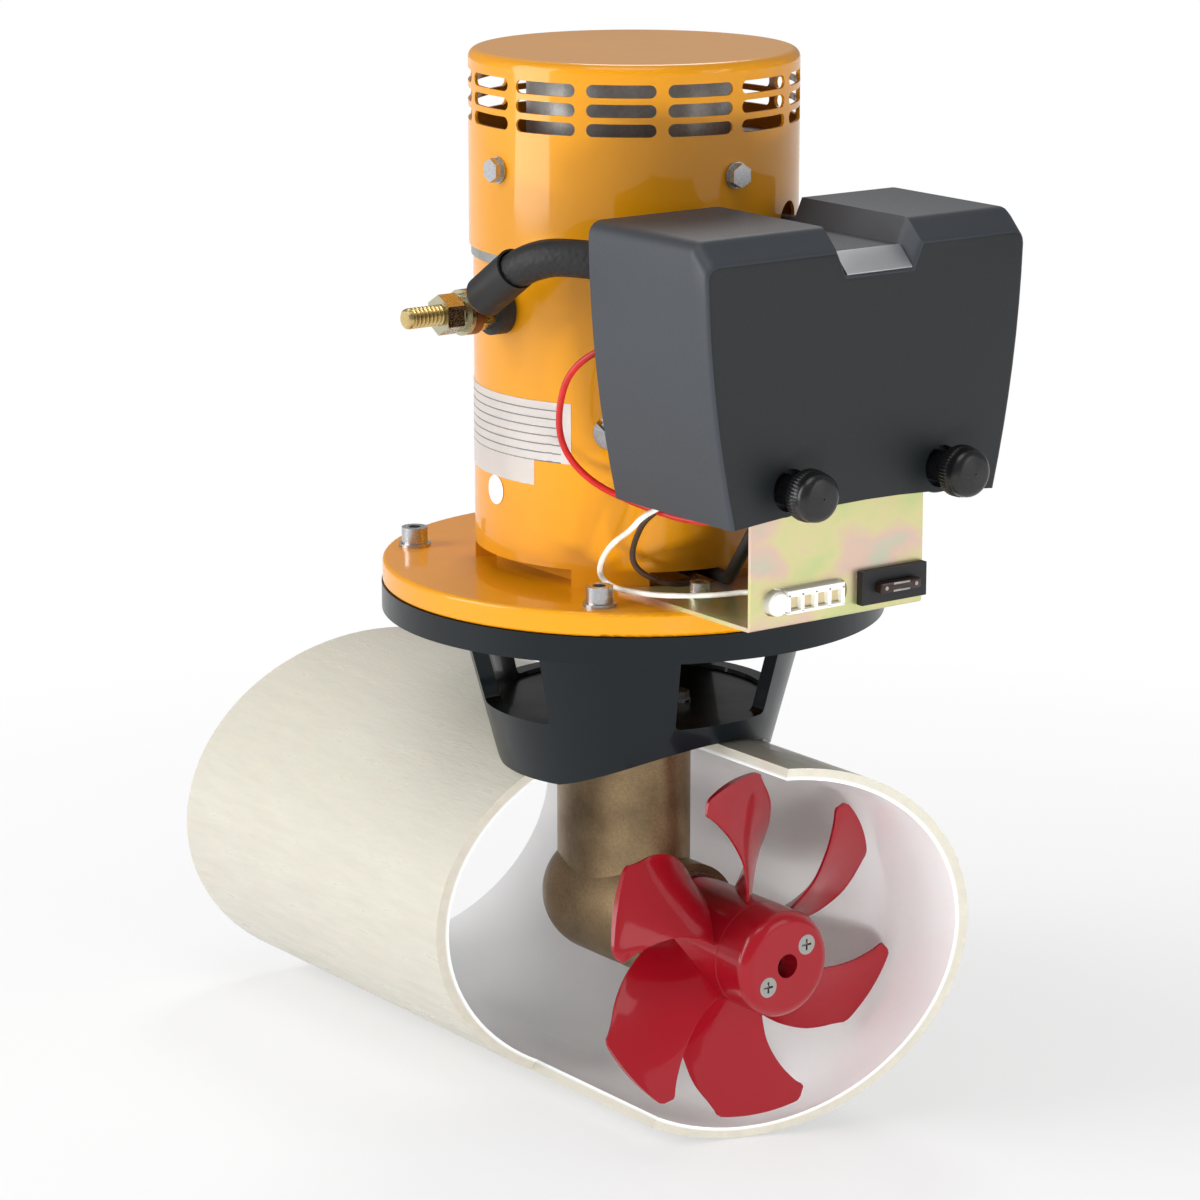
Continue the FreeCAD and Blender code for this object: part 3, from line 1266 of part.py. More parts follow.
def cover_corners(inset, back, low):
    """Corners of the box's section: its wall inset, and how far its edges are set back."""
    middle = "cover_middle"
    top = f"(cover_high - {inset} - {back})"
    shoulder = "(cover_bevel * 0.7)"
    half_top = f"(cover_half_top - {inset} - {back} * 0.6)"
    half_mid = (f"((cover_half_top + cover_half_foot) / 2 + cover_bulge - {inset}"
                f" - {back} * 0.6)")
    half_foot = f"(cover_half_foot - {inset} - {back} * 0.6)"
    waist = "(cover_low + cover_high) / 2"
    notch = f"(channel_half + {inset})"
    floor = f"({top} - channel_deep + {back} * 0.15)"
    arch = f"({low} + cover_arch)" if low == "cover_low" else low
    right = [
        (half_foot, low), (half_mid, waist), (half_top, f"{top} - {shoulder}"),
        (f"({half_top} - {shoulder})", top), (notch, top), (notch, floor),
    ]
    left = [(f"-{across}", height) for across, height in reversed(right)]
    foot = [(f"-{half_foot} / 3", arch), (f"{half_foot} / 3", arch)]
    return [(f"{middle} + {across}", height) for across, height in right + left + foot]


def build_box_cover():
    """Moulded box with bevelled edges, a channel in its top and two knob wells."""
    body = new_body("box_cover")
    bend = "(cover_front - cover_bevel)"

    def section(place, inset, back, low):
        sketch = new_sketch(body, "YZ", place)
        add_outline(sketch, cover_corners(inset, back, low))
        return sketch

    def tapered(kind, near, far):
        doc.recompute()
        feature = body.newObject("PartDesign::" + kind, kind)
        feature.Profile = near
        feature.Sections = [far]
        feature.Ruled = True
        return feature

    wall, below = "cover_wall", "(cover_low - 10)"
    raised(body, section(bend, "0", "0", "cover_low"), f"{bend} - cover_rear", reverse=True)
    tapered("AdditiveLoft", section(bend, "0", "0", "cover_low"),
            section("cover_front", "0", "cover_bevel", "cover_low"))
    inner_bend = f"({bend} - cover_wall / 2)"
    raised(body, section(inner_bend, wall, "0", below), BIG, kind="Pocket")
    tapered("SubtractiveLoft", section(inner_bend, wall, "0", below),
            section("cover_front - cover_wall", wall, "cover_bevel - cover_wall / 2", below))
    for side in (-1, 1):
        across = f"cover_middle + {side} * knob_spacing / 2"
        well = new_sketch(body, "YZ", "cover_front - 10")
        add_circle(well, across, "knob_height", "12")
        raised(body, well, "10")
        recess = new_sketch(body, "YZ", "cover_front")
        add_circle(recess, across, "knob_height", "10")
        raised(body, recess, "6", kind="Pocket")
        bore = new_sketch(body, "YZ", "cover_front")
        add_circle(bore, across, "knob_height", "stud_thread / 2 + 0.6")
        body.Tip = raised(body, bore, "20", kind="Pocket")
    name_node(body, "box_cover")


def build_cover_fittings():
    """Silver plate in the channel's slope, and the knobs on their studs."""
    middle = value["cover_middle"]
    front, bevel = value["cover_front"], value["cover_bevel"]
    floor = value["cover_high"] - value["channel_deep"]
    drop = bevel - 0.15 * bevel
    slope = Vector(bevel, 0, -drop).normalize()
    up = Vector(drop, 0, bevel).normalize()
    start = Vector(front - bevel, 0, floor) + slope * 1.2
    end = Vector(front - bevel, 0, floor) + slope * (math.hypot(bevel, drop) - 0.8)
    wide = value["channel_half"] - 0.6
    corners = [Vector(p.x, middle - wide, p.z) for p in (
        start + up * 0.02, end + up * 0.02, end + up * 1.5, start + up * 1.5)]
    plate = Part.Face(Part.makePolygon(corners + corners[:1])).extrude(Vector(0, 2 * wide, 0))
    made("cover_insert", plate)

    radius = value["stud_thread"] / 2
    face = value["bracket_front"]
    rear = face - value["bracket_sheet"]
    studs = []
    height = value["knob_height"]
    for side in (-1, 1):
        across = middle + side * value["knob_spacing"] / 2

        def at(x, y=across):
            return Vector(x, y, height)

        stud = rod(radius, at(rear - 8), at(front + 8))
        bore = rod(radius, at(rear - 8), at(front + 8))
        inner_nut = hexagon(13, at(rear - 6.5), at(rear)).cut(bore)
        outer_nut = hexagon(13, at(face), at(face + 4)).cut(bore)
        studs.append(stud.multiFuse([inner_nut, outer_nut]))
        knob = rod(7.2, at(front - 5.9), at(front + 14))
        rim = rod(value["knob_radius"], at(front + 14), at(front + 21))
        dome = Part.makeCone(value["knob_radius"], value["knob_radius"] - 4, 3,
                             at(front + 21), Vector(1, 0, 0))
        knob = knob.multiFuse([rim, dome])
        knob = knob.cut(rod(radius + 0.1, at(front - 7), at(front + 10)))
        made("knob_left" if side < 0 else "knob_right", knob)
    made("cover_studs", Part.makeCompound(studs))


# ---- cables and wires -----------------------------------------------------------------

def cord(points, radius):
    """A round cord along straight runs joined by tangent bends."""
    points = [Vector(*point) for point in points]
    edges = []
    last = points[0]
    for before, here, after in zip(points, points[1:], points[2:]):
        inward, onward = here - before, after - here
        reach = 0.45 * min(inward.Length, onward.Length)
        inward.normalize()
        onward.normalize()
        start, end = here - inward * reach, here + onward * reach
        half_turn = inward.getAngle(onward) / 2
        bend = reach / math.tan(half_turn)
        if bend < radius * 1.05:
            raise ValueError(f"bend of {bend:.1f} mm is too tight for a cord of {radius} mm")
        inside = (onward - inward).normalize()
        centre = here + inside * (bend / math.cos(half_turn))
        crest = centre - inside * bend
        edges.append(Part.LineSegment(last, start).toShape())
        edges.append(Part.Arc(start, crest, end).toShape())
        last = end
    edges.append(Part.LineSegment(last, points[-1]).toShape())
    path = Part.Wire(edges)
    start_way = points[1] - points[0]
    mouth = Part.Wire([Part.makeCircle(radius, points[0], start_way)])
    return path.makePipeShell([mouth], True, True)


def build_stud_cable():
    """Cable lug on the terminal stud, with its sleeve and the motor cable."""
    radius = value["motor_cable"]
    face = value["nut_face"]
    middle = -(face - 17)
    eye = Vector(0, middle, value["stud_height"])
    way = Vector(math.cos(math.radians(33)), 0, math.sin(math.radians(33)))
    gap = value["seat_gap"]
    bore = rod(value["stud_radius"] + 0.05, eye - Vector(0, 5, 0), eye + Vector(0, 5, 0))
    lug = rod(11, eye - Vector(0, 2.5, 0), eye + Vector(0, 2.5, 0))
    barrel = rod(radius, eye + way * 15.5, eye + way * 33.5)
    neck = Part.makeCone(2.4, radius, 4.2, eye + way * 11.3, way)
    made("cable_lug", lug.fuse(barrel).fuse(neck).cut(bore))
    sleeve = tube(radius + 1.2, radius + gap, eye + way * 17.5, eye + way * 47.5)
    made("heat_shrink", sleeve)
    made("motor_cable", cord([
        eye + way * 33.5, eye + way * 60, (78, middle + 16, 346), (103, middle + 37, 340),
        (122, middle + 54, 331)], radius))


def build_wires():
    """Brush cable, field cable and the thin wires between the box and the bracket."""
    under_solenoid = value["solenoid_low"]
    bell_face = value["motor_radius"] - 20 + value["seat_gap"]
    made("brush_cable", cord([
        (45.9, 27.6, 349), (60, 36.1, 349), (75, 45, 348.5), (90, 50, 347), (104, 53, 341)], 5.5))
    made("field_cable", cord([
        (136, -20, under_solenoid), (136, -20, 246), (132, -23, 228), (122, -26, 210),
        (108, -22, 196), (92, -12, 187), (76, -6, 186), (bell_face, -6, 186)], 3.2))
    made("red_wire", cord([
        (104, -58, 300), (86, -74, 308), (66, -86, 294), (58.6, -88, 272.6),
        (60.5, -87, 254), (69, -76, 238), (87, -62, 229), (119, -58, 226.3),
        (140, -48, 228), (142, -36, 244), (142, -36, under_solenoid)], 1.6))
    made("brown_wire", cord([
        (120, -30, under_solenoid), (120, -30, 249), (108, -43, 238), (92, -60, 225),
        (82, -60, 212), (78.5, -60, 200.6), (84, -57, 194), (90, -47, 189.5),
        (88, -34, 187), (80, -22, 185.8), (70, -16, 185.8), (bell_face, -16, 185.8)], 1.4))
    level = value["connector_height"]
    back = value["bracket_front"] - value["bracket_sheet"] - 13
    first = value["connector_middle"] - 12
    made("white_wires", cord([
        (back, first, level), (back - 9, first, level), (122, -44, 189.5), (101, -59, 187.5),
        (88, -63, 187), (73, -65, 186.3), (66.3, -70, 192), (68.9, -70, 201),
        (78, -70, 210.5), (91, -70, 218), (100, -68, 228), (118, -45, 241),
        (128, -32, 249), (128, -32, under_solenoid)], 1.3))


# ---- the whole thruster ---------------------------------------------------------------

BUILDERS = [
    build_tunnel, build_gasket, build_support_flange, build_mounting_plate,
    build_lower_bell, build_yoke, build_upper_bell, build_brush_gear, build_fan_cover,
    build_rotor, build_terminal_stud, build_coupling, build_bevel_pair, build_leg,
    build_propeller, build_bracket, build_connectors, build_solenoid, build_box_cover,
    build_cover_fittings, build_stud_cable, build_wires,
]


def check_document():
    """Stop when an object has not been worked out or a sub-part's shape is unsound."""
    for item in doc.Objects:
        if "Invalid" in item.State or "Error" in item.State:
            raise RuntimeError(f"{item.Label} could not be worked out: {item.State}")
    for item in NODES:
        if item.Shape.isNull() or not item.Shape.isValid():
            raise RuntimeError(f"{item.Label} has no sound shape")


def export_parts():
    os.makedirs("parts", exist_ok=True)
    for item in NODES:
        item.Shape.exportStep(f"parts/{item.Label}.step")


for build in BUILDERS:
    build()
doc.recompute()
check_document()
export_parts()
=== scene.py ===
"""Bow thruster: finishes, fine pieces, studio and camera.

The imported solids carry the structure.  Each sub-assembly below dresses its own solids and
builds the pieces that need finer work: the propeller, the control box's cover, the knobs,
the threaded terminal, the cables and the plain stickers.  The frame is the thruster's own,
+X along the tunnel towards the propeller and +Z up the motor.  Sizes of pieces are in
millimetres and become metres where a mesh is made; the studio is in metres.
"""
from __future__ import annotations

import json
import logging
import math
from dataclasses import dataclass
from enum import Enum
from typing import Iterable, NamedTuple, Sequence

import bmesh
import bpy
from mathutils import Euler, Matrix, Vector
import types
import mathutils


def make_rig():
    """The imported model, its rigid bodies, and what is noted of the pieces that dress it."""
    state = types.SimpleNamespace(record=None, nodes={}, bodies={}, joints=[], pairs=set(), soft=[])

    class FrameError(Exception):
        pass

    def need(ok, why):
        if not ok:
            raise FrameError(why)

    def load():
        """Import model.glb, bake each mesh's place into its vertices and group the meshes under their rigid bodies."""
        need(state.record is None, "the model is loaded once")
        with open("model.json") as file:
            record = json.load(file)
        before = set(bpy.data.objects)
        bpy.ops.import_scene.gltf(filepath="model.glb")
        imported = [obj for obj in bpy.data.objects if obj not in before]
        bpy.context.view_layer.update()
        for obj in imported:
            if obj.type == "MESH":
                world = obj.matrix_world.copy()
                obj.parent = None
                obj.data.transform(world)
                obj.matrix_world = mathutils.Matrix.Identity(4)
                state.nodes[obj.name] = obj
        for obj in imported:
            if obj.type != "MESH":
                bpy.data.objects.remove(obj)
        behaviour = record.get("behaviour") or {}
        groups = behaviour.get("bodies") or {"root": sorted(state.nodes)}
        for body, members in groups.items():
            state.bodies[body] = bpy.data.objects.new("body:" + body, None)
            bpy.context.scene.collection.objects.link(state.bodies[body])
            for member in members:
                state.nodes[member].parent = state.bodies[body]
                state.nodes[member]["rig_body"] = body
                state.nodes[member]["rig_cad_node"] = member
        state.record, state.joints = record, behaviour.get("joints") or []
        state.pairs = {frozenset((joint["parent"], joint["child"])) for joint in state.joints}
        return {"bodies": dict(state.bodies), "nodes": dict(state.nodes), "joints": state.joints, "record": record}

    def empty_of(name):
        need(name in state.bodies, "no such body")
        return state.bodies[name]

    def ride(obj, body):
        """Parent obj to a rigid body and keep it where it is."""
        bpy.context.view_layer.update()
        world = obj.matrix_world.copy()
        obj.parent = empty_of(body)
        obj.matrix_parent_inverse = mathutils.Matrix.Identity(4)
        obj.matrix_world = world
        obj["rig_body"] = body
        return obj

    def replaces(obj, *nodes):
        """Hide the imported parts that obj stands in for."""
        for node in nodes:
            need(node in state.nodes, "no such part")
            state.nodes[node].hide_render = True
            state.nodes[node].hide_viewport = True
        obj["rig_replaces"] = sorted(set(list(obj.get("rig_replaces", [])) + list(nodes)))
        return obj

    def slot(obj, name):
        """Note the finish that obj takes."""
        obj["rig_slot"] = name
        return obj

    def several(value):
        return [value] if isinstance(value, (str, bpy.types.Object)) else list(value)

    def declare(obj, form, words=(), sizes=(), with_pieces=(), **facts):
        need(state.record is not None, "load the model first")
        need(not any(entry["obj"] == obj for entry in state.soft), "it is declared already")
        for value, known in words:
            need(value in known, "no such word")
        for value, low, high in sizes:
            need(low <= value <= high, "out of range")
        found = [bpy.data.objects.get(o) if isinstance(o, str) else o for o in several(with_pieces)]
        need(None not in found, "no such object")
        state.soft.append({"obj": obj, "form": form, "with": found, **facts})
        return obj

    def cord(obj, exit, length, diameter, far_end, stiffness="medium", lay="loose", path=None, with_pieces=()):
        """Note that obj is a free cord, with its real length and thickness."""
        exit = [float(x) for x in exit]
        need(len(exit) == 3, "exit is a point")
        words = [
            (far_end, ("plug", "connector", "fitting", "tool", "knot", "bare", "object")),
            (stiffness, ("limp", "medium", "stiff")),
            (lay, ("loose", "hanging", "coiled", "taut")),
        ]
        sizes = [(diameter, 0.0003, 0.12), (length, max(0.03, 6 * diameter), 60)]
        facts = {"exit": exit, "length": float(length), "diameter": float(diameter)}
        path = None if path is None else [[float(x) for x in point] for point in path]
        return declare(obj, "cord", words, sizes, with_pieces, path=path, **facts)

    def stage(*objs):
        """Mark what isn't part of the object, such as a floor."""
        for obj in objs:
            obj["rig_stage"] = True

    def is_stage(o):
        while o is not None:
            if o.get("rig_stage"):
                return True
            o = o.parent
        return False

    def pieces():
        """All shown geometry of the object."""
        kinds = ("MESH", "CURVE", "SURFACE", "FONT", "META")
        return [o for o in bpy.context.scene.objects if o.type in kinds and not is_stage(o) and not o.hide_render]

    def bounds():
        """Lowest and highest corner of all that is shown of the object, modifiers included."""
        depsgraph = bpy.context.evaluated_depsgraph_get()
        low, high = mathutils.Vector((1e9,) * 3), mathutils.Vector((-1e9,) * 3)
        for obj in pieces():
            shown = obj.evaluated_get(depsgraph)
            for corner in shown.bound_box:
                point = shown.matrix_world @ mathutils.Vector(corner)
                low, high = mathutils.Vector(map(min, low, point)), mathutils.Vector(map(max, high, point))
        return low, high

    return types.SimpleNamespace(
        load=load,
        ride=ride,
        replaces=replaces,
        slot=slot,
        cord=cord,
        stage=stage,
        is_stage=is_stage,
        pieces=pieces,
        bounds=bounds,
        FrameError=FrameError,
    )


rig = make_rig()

log = logging.getLogger("bow_thruster")

Colour = tuple[float, float, float]
Point = tuple[float, float, float]
Pair = tuple[float, float]
Mesh = bmesh.types.BMesh
Socket = bpy.types.NodeSocket
MM = 0.001


def srgb(red: float, green: float, blue: float) -> Colour:
    """A colour given as 0 to 255 screen values, in linear light."""
    shares = (part / 255 for part in (red, green, blue))
    return tuple(part / 12.92 if part <= 0.04045 else ((part + 0.055) / 1.055) ** 2.4
                 for part in shares)


# ---- node materials -------------------------------------------------------------------

class Shader:
    """A node material with short ways to make the nodes that the finishes share."""

    def __init__(self, name: str) -> None:
        """Start a material whose Principled shader is ready to be set.

        Args:
            name: the material's name.
        """
        self.material = bpy.data.materials.new(name)
        self.material.use_nodes = True
        self.tree = self.material.node_tree
        self.base = self.tree.nodes["Principled BSDF"]
        self.place = self.node("TexCoord").outputs["Object"]

    def node(self, kind: str, inputs: dict[str | int, object] | None = None,
             **settings: object) -> bpy.types.Node:
        """A new node.

        Args:
            kind: the node's type, without its ShaderNode prefix.
            inputs: what its inputs are fed, by name or number.
            settings: the node's own properties.

        Returns:
            The node.
        """
        made = self.tree.nodes.new("ShaderNode" + kind)
        for name, setting in settings.items():
            setattr(made, name, setting)
        for socket, content in (inputs or {}).items():
            self.feed(made.inputs[socket], content)
        return made

    def feed(self, socket: Socket, content: object) -> None:
        """Give an input either a link or a fixed value.

        Args:
            socket: the input.
            content: an output to link, a number, a vector or a colour.
        """
        if isinstance(content, Socket):
            self.tree.links.new(content, socket)
        elif socket.type == "RGBA":
            socket.default_value = (*content, 1.0)
        else:
            socket.default_value = content

    def mapped(self, scale: Point = (1, 1, 1), turn: Point = (0, 0, 0)) -> Socket:
        """Object coordinates, stretched and turned in degrees."""
        angles = [math.radians(angle) for angle in turn]
        return self.node("Mapping", {"Vector": self.place, "Scale": scale,
                                     "Rotation": angles}).outputs["Vector"]

    def noise(self, scale: float, detail: float = 3, where: Socket | None = None,
              rough: float = 0.55) -> Socket:
        """Fractal noise, from 0 to 1."""
        return self.node("TexNoise", {"Vector": where or self.place, "Scale": scale,
                                      "Detail": detail, "Roughness": rough}).outputs["Fac"]

    def ramp(self, fac: Socket, stops: Sequence[tuple[float, Colour]]) -> Socket:
        """A colour ramp over a factor.

        Args:
            fac: the factor, from 0 to 1.
            stops: positions and colours, in order.

        Returns:
            The ramp's colour output.
        """
        made = self.node("ValToRGB", {"Fac": fac})
        elements = made.color_ramp.elements
        while len(elements) < len(stops):
            elements.new(0.5)
        for element, (position, colour) in zip(elements, stops):
            element.position = position
            element.color = (*colour, 1.0)
        return made.outputs["Color"]

    def mix(self, fac: object, first: object, second: object) -> Socket:
        """A mix of two colours."""
        inputs = {"Factor": fac, 6: first, 7: second}
        return self.node("Mix", inputs, data_type="RGBA").outputs[2]

    def math(self, operation: str, first: object, second: object = 0.0) -> Socket:
        """One arithmetic step."""
        return self.node("Math", {0: first, 1: second}, operation=operation).outputs[0]

    def reach(self, first: Socket, second: Socket) -> Socket:
        """The length of the hypotenuse over two lengths."""
        squares = [self.math("MULTIPLY", part, part) for part in (first, second)]
        return self.math("SQRT", self.math("ADD", *squares))

    def stretch(self, fac: object, low: float, high: float, to_low: float = 0.0,
                to_high: float = 1.0) -> Socket:
        """A factor carried from one range to another, and held at its ends."""
        return self.node("MapRange", {"Value": fac, "From Min": low, "From Max": high,
                                      "To Min": to_low, "To Max": to_high}).outputs["Result"]

    def split(self, where: Socket | None = None) -> tuple[Socket, ...]:
        """The X, Y and Z parts of a vector."""
        return tuple(self.node("SeparateXYZ", {"Vector": where or self.place}).outputs)

    def bump(self, height: Socket, depth_mm: float) -> None:
        """Relief of a given depth over the whole surface."""
        made = self.node("Bump", {"Height": height, "Distance": depth_mm * MM})
        self.put("Normal", made.outputs["Normal"])

    def put(self, name: str, content: object) -> None:
        """Set or link one of the Principled shader's inputs."""
        self.feed(self.base.inputs[name], content)


@dataclass(frozen=True)
class Finish:
    """One finish of the thruster, with its base colour and roughness."""

    name: str
    colour: Colour
    roughness: float = 0.4

    def build(self) -> bpy.types.Material:
        """The finish's node material.

        Returns:
            The material.
        """
        shader = Shader(self.name)
        self.dress(shader)
        return shader.material

    def dress(self, shader: Shader) -> None:
        """Fill in the nodes of the material that the shader holds."""
        raise NotImplementedError

    def shades(self, factor: float) -> Colour:
        """The base colour made darker or lighter."""
        return tuple(min(1.0, part * factor) for part in self.colour)

    def tints(self, shader: Shader, fac: Socket, low: float, high: float,
              ends: tuple[float, float] = (0.3, 0.7)) -> Socket:
        """The base colour between two shades of it, along a factor."""
        return shader.ramp(fac, list(zip(ends, (self.shades(low), self.shades(high)))))

    def rub(self, shader: Shader, fac: Socket, low: float, high: float,
            ends: tuple[float, float] = (0.3, 0.7)) -> Socket:
        """A roughness between two shares of the finish's own, along a factor."""
        return shader.stretch(fac, *ends, self.roughness * low, self.roughness * high)


@dataclass(frozen=True)
class Paint(Finish):
    """Sprayed enamel: even colour, faint orange peel and a clear gloss."""

    coat: float = 0.6
    coat_roughness: float = 0.07
    peel_mm: float = 0.004
    peel_scale: float = 110
    specular: float = 0.2

    def dress(self, shader: Shader) -> None:
        """Even colour with a little cloudiness, and a soft orange peel.

        Args:
            shader: the shader that holds the material's nodes.
        """
        shader.put("Base Color", self.tints(shader, shader.noise(9, 2), 0.94, 1.03))
        dust = shader.noise(60, 2)
        shader.put("Roughness", self.rub(shader, dust, 0.92, 1.08, (0.35, 0.75)))
        shader.put("Specular IOR Level", self.specular)
        shader.put("Coat Weight", self.coat)
        shader.put("Coat Roughness", self.coat_roughness)
        shader.bump(shader.noise(self.peel_scale, 1), self.peel_mm)


@dataclass(frozen=True)
class Moulded(Finish):
    """Injection moulded plastic with a fine eroded grain."""

    grain_mm: float = 0.03
    grain_scale: float = 1500

    def dress(self, shader: Shader) -> None:
        """Fine grain in relief, with slightly polished high spots.

        Args:
            shader: the shader that holds the material's nodes.
        """
        grain = shader.noise(self.grain_scale, 3, rough=0.6)
        shader.put("Base Color", self.tints(shader, shader.noise(14, 2), 0.93, 1.06))
        shader.put("Roughness", self.rub(shader, grain, 1.15, 0.85))
        shader.bump(grain, self.grain_mm)


class Lay(Enum):
    """The way in which a metal's fine scratches run."""

    AROUND = (1, 1, 30)
    ALONG_X = (1, 30, 30)
    NONE = (1, 1, 1)


@dataclass(frozen=True)
class Metal(Finish):
    """Machined or plated metal with fine tool marks and dull patches."""

    lay: Lay = Lay.NONE
    tarnish: Colour = (0.25, 0.22, 0.18)
    tarnish_share: float = 0.15
    marks_mm: float = 0.006

    def dress(self, shader: Shader) -> None:
        """Metal colour with tarnish in patches and fine directional marks.

        Args:
            shader: the shader that holds the material's nodes.
        """
        patches = shader.stretch(shader.noise(60, 4), 0.5, 0.8, 0, self.tarnish_share)
        shader.put("Base Color", shader.mix(patches, self.colour, self.tarnish))
        shader.put("Metallic", 1.0)
        marks = shader.noise(900, 2, shader.mapped(self.lay.value))
        shader.put("Roughness", self.rub(shader, marks, 0.75, 1.3))
        shader.bump(marks, self.marks_mm)


@dataclass(frozen=True)
class Casting(Finish):
    """Sand-cast bronze: grainy skin, dull in its hollows and brighter on high spots."""

    metallic: float = 0.85
    skin_mm: float = 0.12

    def dress(self, shader: Shader) -> None:
        """Grainy cast skin with warm and dark patches.

        Args:
            shader: the shader that holds the material's nodes.
        """
        grain = shader.noise(700, 5, rough=0.7)
        patch = shader.noise(26, 4)
        colour = shader.ramp(patch, [(0.28, self.shades(0.55)), (0.5, self.colour),
                                     (0.75, self.shades(1.35))])
        hollows = shader.stretch(grain, 0.35, 0.6, 0.35, 0)
        shader.put("Base Color", shader.mix(hollows, colour, self.shades(0.35)))
        shader.put("Metallic", self.metallic)
        shader.put("Roughness", self.rub(shader, patch, 1.2, 0.85))
        shader.bump(grain, self.skin_mm)


@dataclass(frozen=True)
class Passivated(Finish):
    """Yellow-passivated zinc: metal with drifting green, rose and straw tints."""

    drifts: tuple[tuple[float, Colour], ...] = (
        (0.30, srgb(222, 205, 170)), (0.42, srgb(205, 214, 150)), (0.50, srgb(222, 214, 160)),
        (0.58, srgb(226, 196, 180)), (0.68, srgb(196, 206, 180)))
    rolled_mm: float = 0.008

    def dress(self, shader: Shader) -> None:
        """Slow drifts of tint over a satin metal.

        Args:
            shader: the shader that holds the material's nodes.
        """
        drift = shader.noise(17, 3, shader.mapped((1, 1, 1.6), (20, 0, 15)), rough=0.5)
        shader.put("Base Color", shader.ramp(drift, self.drifts))
        shader.put("Metallic", 0.8)
        rolled = shader.noise(500, 3, shader.mapped((1, 1, 12)))
        shader.put("Roughness", self.rub(shader, rolled, 0.8, 1.2))
        shader.bump(rolled, self.rolled_mm)


@dataclass(frozen=True)
class Laminate(Finish):
    """Wound glass laminate: streaky ivory outside, white gelcoat inside."""

    bore_m: float = 0.0925
    inside: Colour = srgb(250, 250, 250)
    inside_roughness: float = 0.22
    relief_mm: float = 0.2

    def dress(self, shader: Shader) -> None:
        """Slanting rovings outside the wall, smooth gelcoat on the bore.

        Args:
            shader: the shader that holds the material's nodes.
        """
        _, across, up = shader.split()
        outside = shader.stretch(shader.reach(across, up), self.bore_m + 0.0008,
                                 self.bore_m + 0.0020)
        rovings = shader.noise(130, 4, shader.mapped((0.22, 1.4, 1.4), (0, 24, 38)), rough=0.6)
        weave = shader.noise(520, 3, shader.mapped((0.3, 1.2, 1.2), (10, 20, -30)))
        skin = shader.ramp(rovings, [(0.30, self.shades(0.95)), (0.5, self.colour),
                                     (0.68, self.shades(1.04))])
        cloud = shader.stretch(shader.noise(14, 3), 0.35, 0.7, 0, 0.3)
        skin = shader.mix(cloud, skin, self.shades(0.93))
        shader.put("Base Color", shader.mix(outside, self.inside, skin))
        skin_part = shader.math("MULTIPLY", outside, self.rub(shader, rovings, 1.3, 0.7))
        bore_part = shader.math("MULTIPLY", shader.math("SUBTRACT", 1.0, outside),
                                self.inside_roughness)
        shader.put("Roughness", shader.math("ADD", skin_part, bore_part))
        for name, value in (("Subsurface Weight", 0.15), ("Subsurface Scale", 0.006),
                            ("Coat Weight", 0.25), ("Coat Roughness", 0.25)):
            shader.put(name, value)
        relief = shader.math("MULTIPLY", outside, shader.math("ADD", rovings, weave))
        shader.bump(relief, self.relief_mm)


@dataclass(frozen=True)
class BoxPlastic(Moulded):
    """Grained plastic whose flat front is painted a darker colour as painted shade."""

    front_m: float = 0.176
    # film: the darker colour painted on the front as painted shade, not a printed film
    film: Colour = srgb(20, 24, 26)

    def dress(self, shader: Shader) -> None:
        """Grained plastic with painted shade on its flat front.

        Args:
            shader: the shader that holds the material's nodes.
        """
        super().dress(shader)
        # painted shade: beyond front_m the front face takes the darker film colour
        on_shaded_front = shader.math("GREATER_THAN", shader.split()[0], self.front_m - 0.0003)
        plastic = self.tints(shader, shader.noise(7, 2), 0.93, 1.07)
        shader.put("Base Color", shader.mix(on_shaded_front, plastic, self.film))


@dataclass(frozen=True)
class Sleeve(Finish):
    """Cable sheath or woven sleeve that follows its own cable."""

    weave: float = 0.0
    weave_mm: float = 0.1

    def dress(self, shader: Shader) -> None:
        """Smooth sheath with scuffs, or a diamond weave.

        Args:
            shader: the shader that holds the material's nodes.
        """
        scuff = shader.noise(90, 4)
        shader.put("Base Color", self.tints(shader, scuff, 0.85, 1.25, (0.35, 0.7)))
        shader.put("Roughness", self.rub(shader, scuff, 1, 1.3))
        if self.weave:
            threads = shader.node("TexVoronoi", {"Vector": shader.mapped(turn=(0, 33, 0)),
                                                 "Scale": self.weave}).outputs["Distance"]
            shader.bump(threads, self.weave_mm)
        else:
            shader.bump(shader.noise(200, 3), 0.03)


@dataclass(frozen=True)
class Sticker(Finish):
    """Plain printed sticker: white film with rows of grey ruled lines."""

    rows: int = 0
    ink: Colour = srgb(150, 150, 150)
    line: float = 0.14
    margin: float = 0.05

    def dress(self, shader: Shader) -> None:
        """White film, ruled where the sticker has rows.

        Args:
            shader: the shader that holds the material's nodes.
        """
        across, up, _ = shader.split(shader.node("TexCoord").outputs["UV"])
        if self.rows:
            step = shader.math("FRACT", shader.math("MULTIPLY", up, float(self.rows)))
            inside = shader.math("MULTIPLY", shader.math("GREATER_THAN", across, self.margin),
                                 shader.math("LESS_THAN", across, 1 - self.margin))
            printed = shader.math("MULTIPLY", shader.math("LESS_THAN", step, self.line), inside)
            shader.put("Base Color", shader.mix(printed, self.colour, self.ink))
        else:
            shader.put("Base Color", self.tints(shader, shader.noise(40, 2), 0.97, 1))
        shader.put("Roughness", self.roughness)
        shader.bump(shader.noise(600, 2), 0.004)


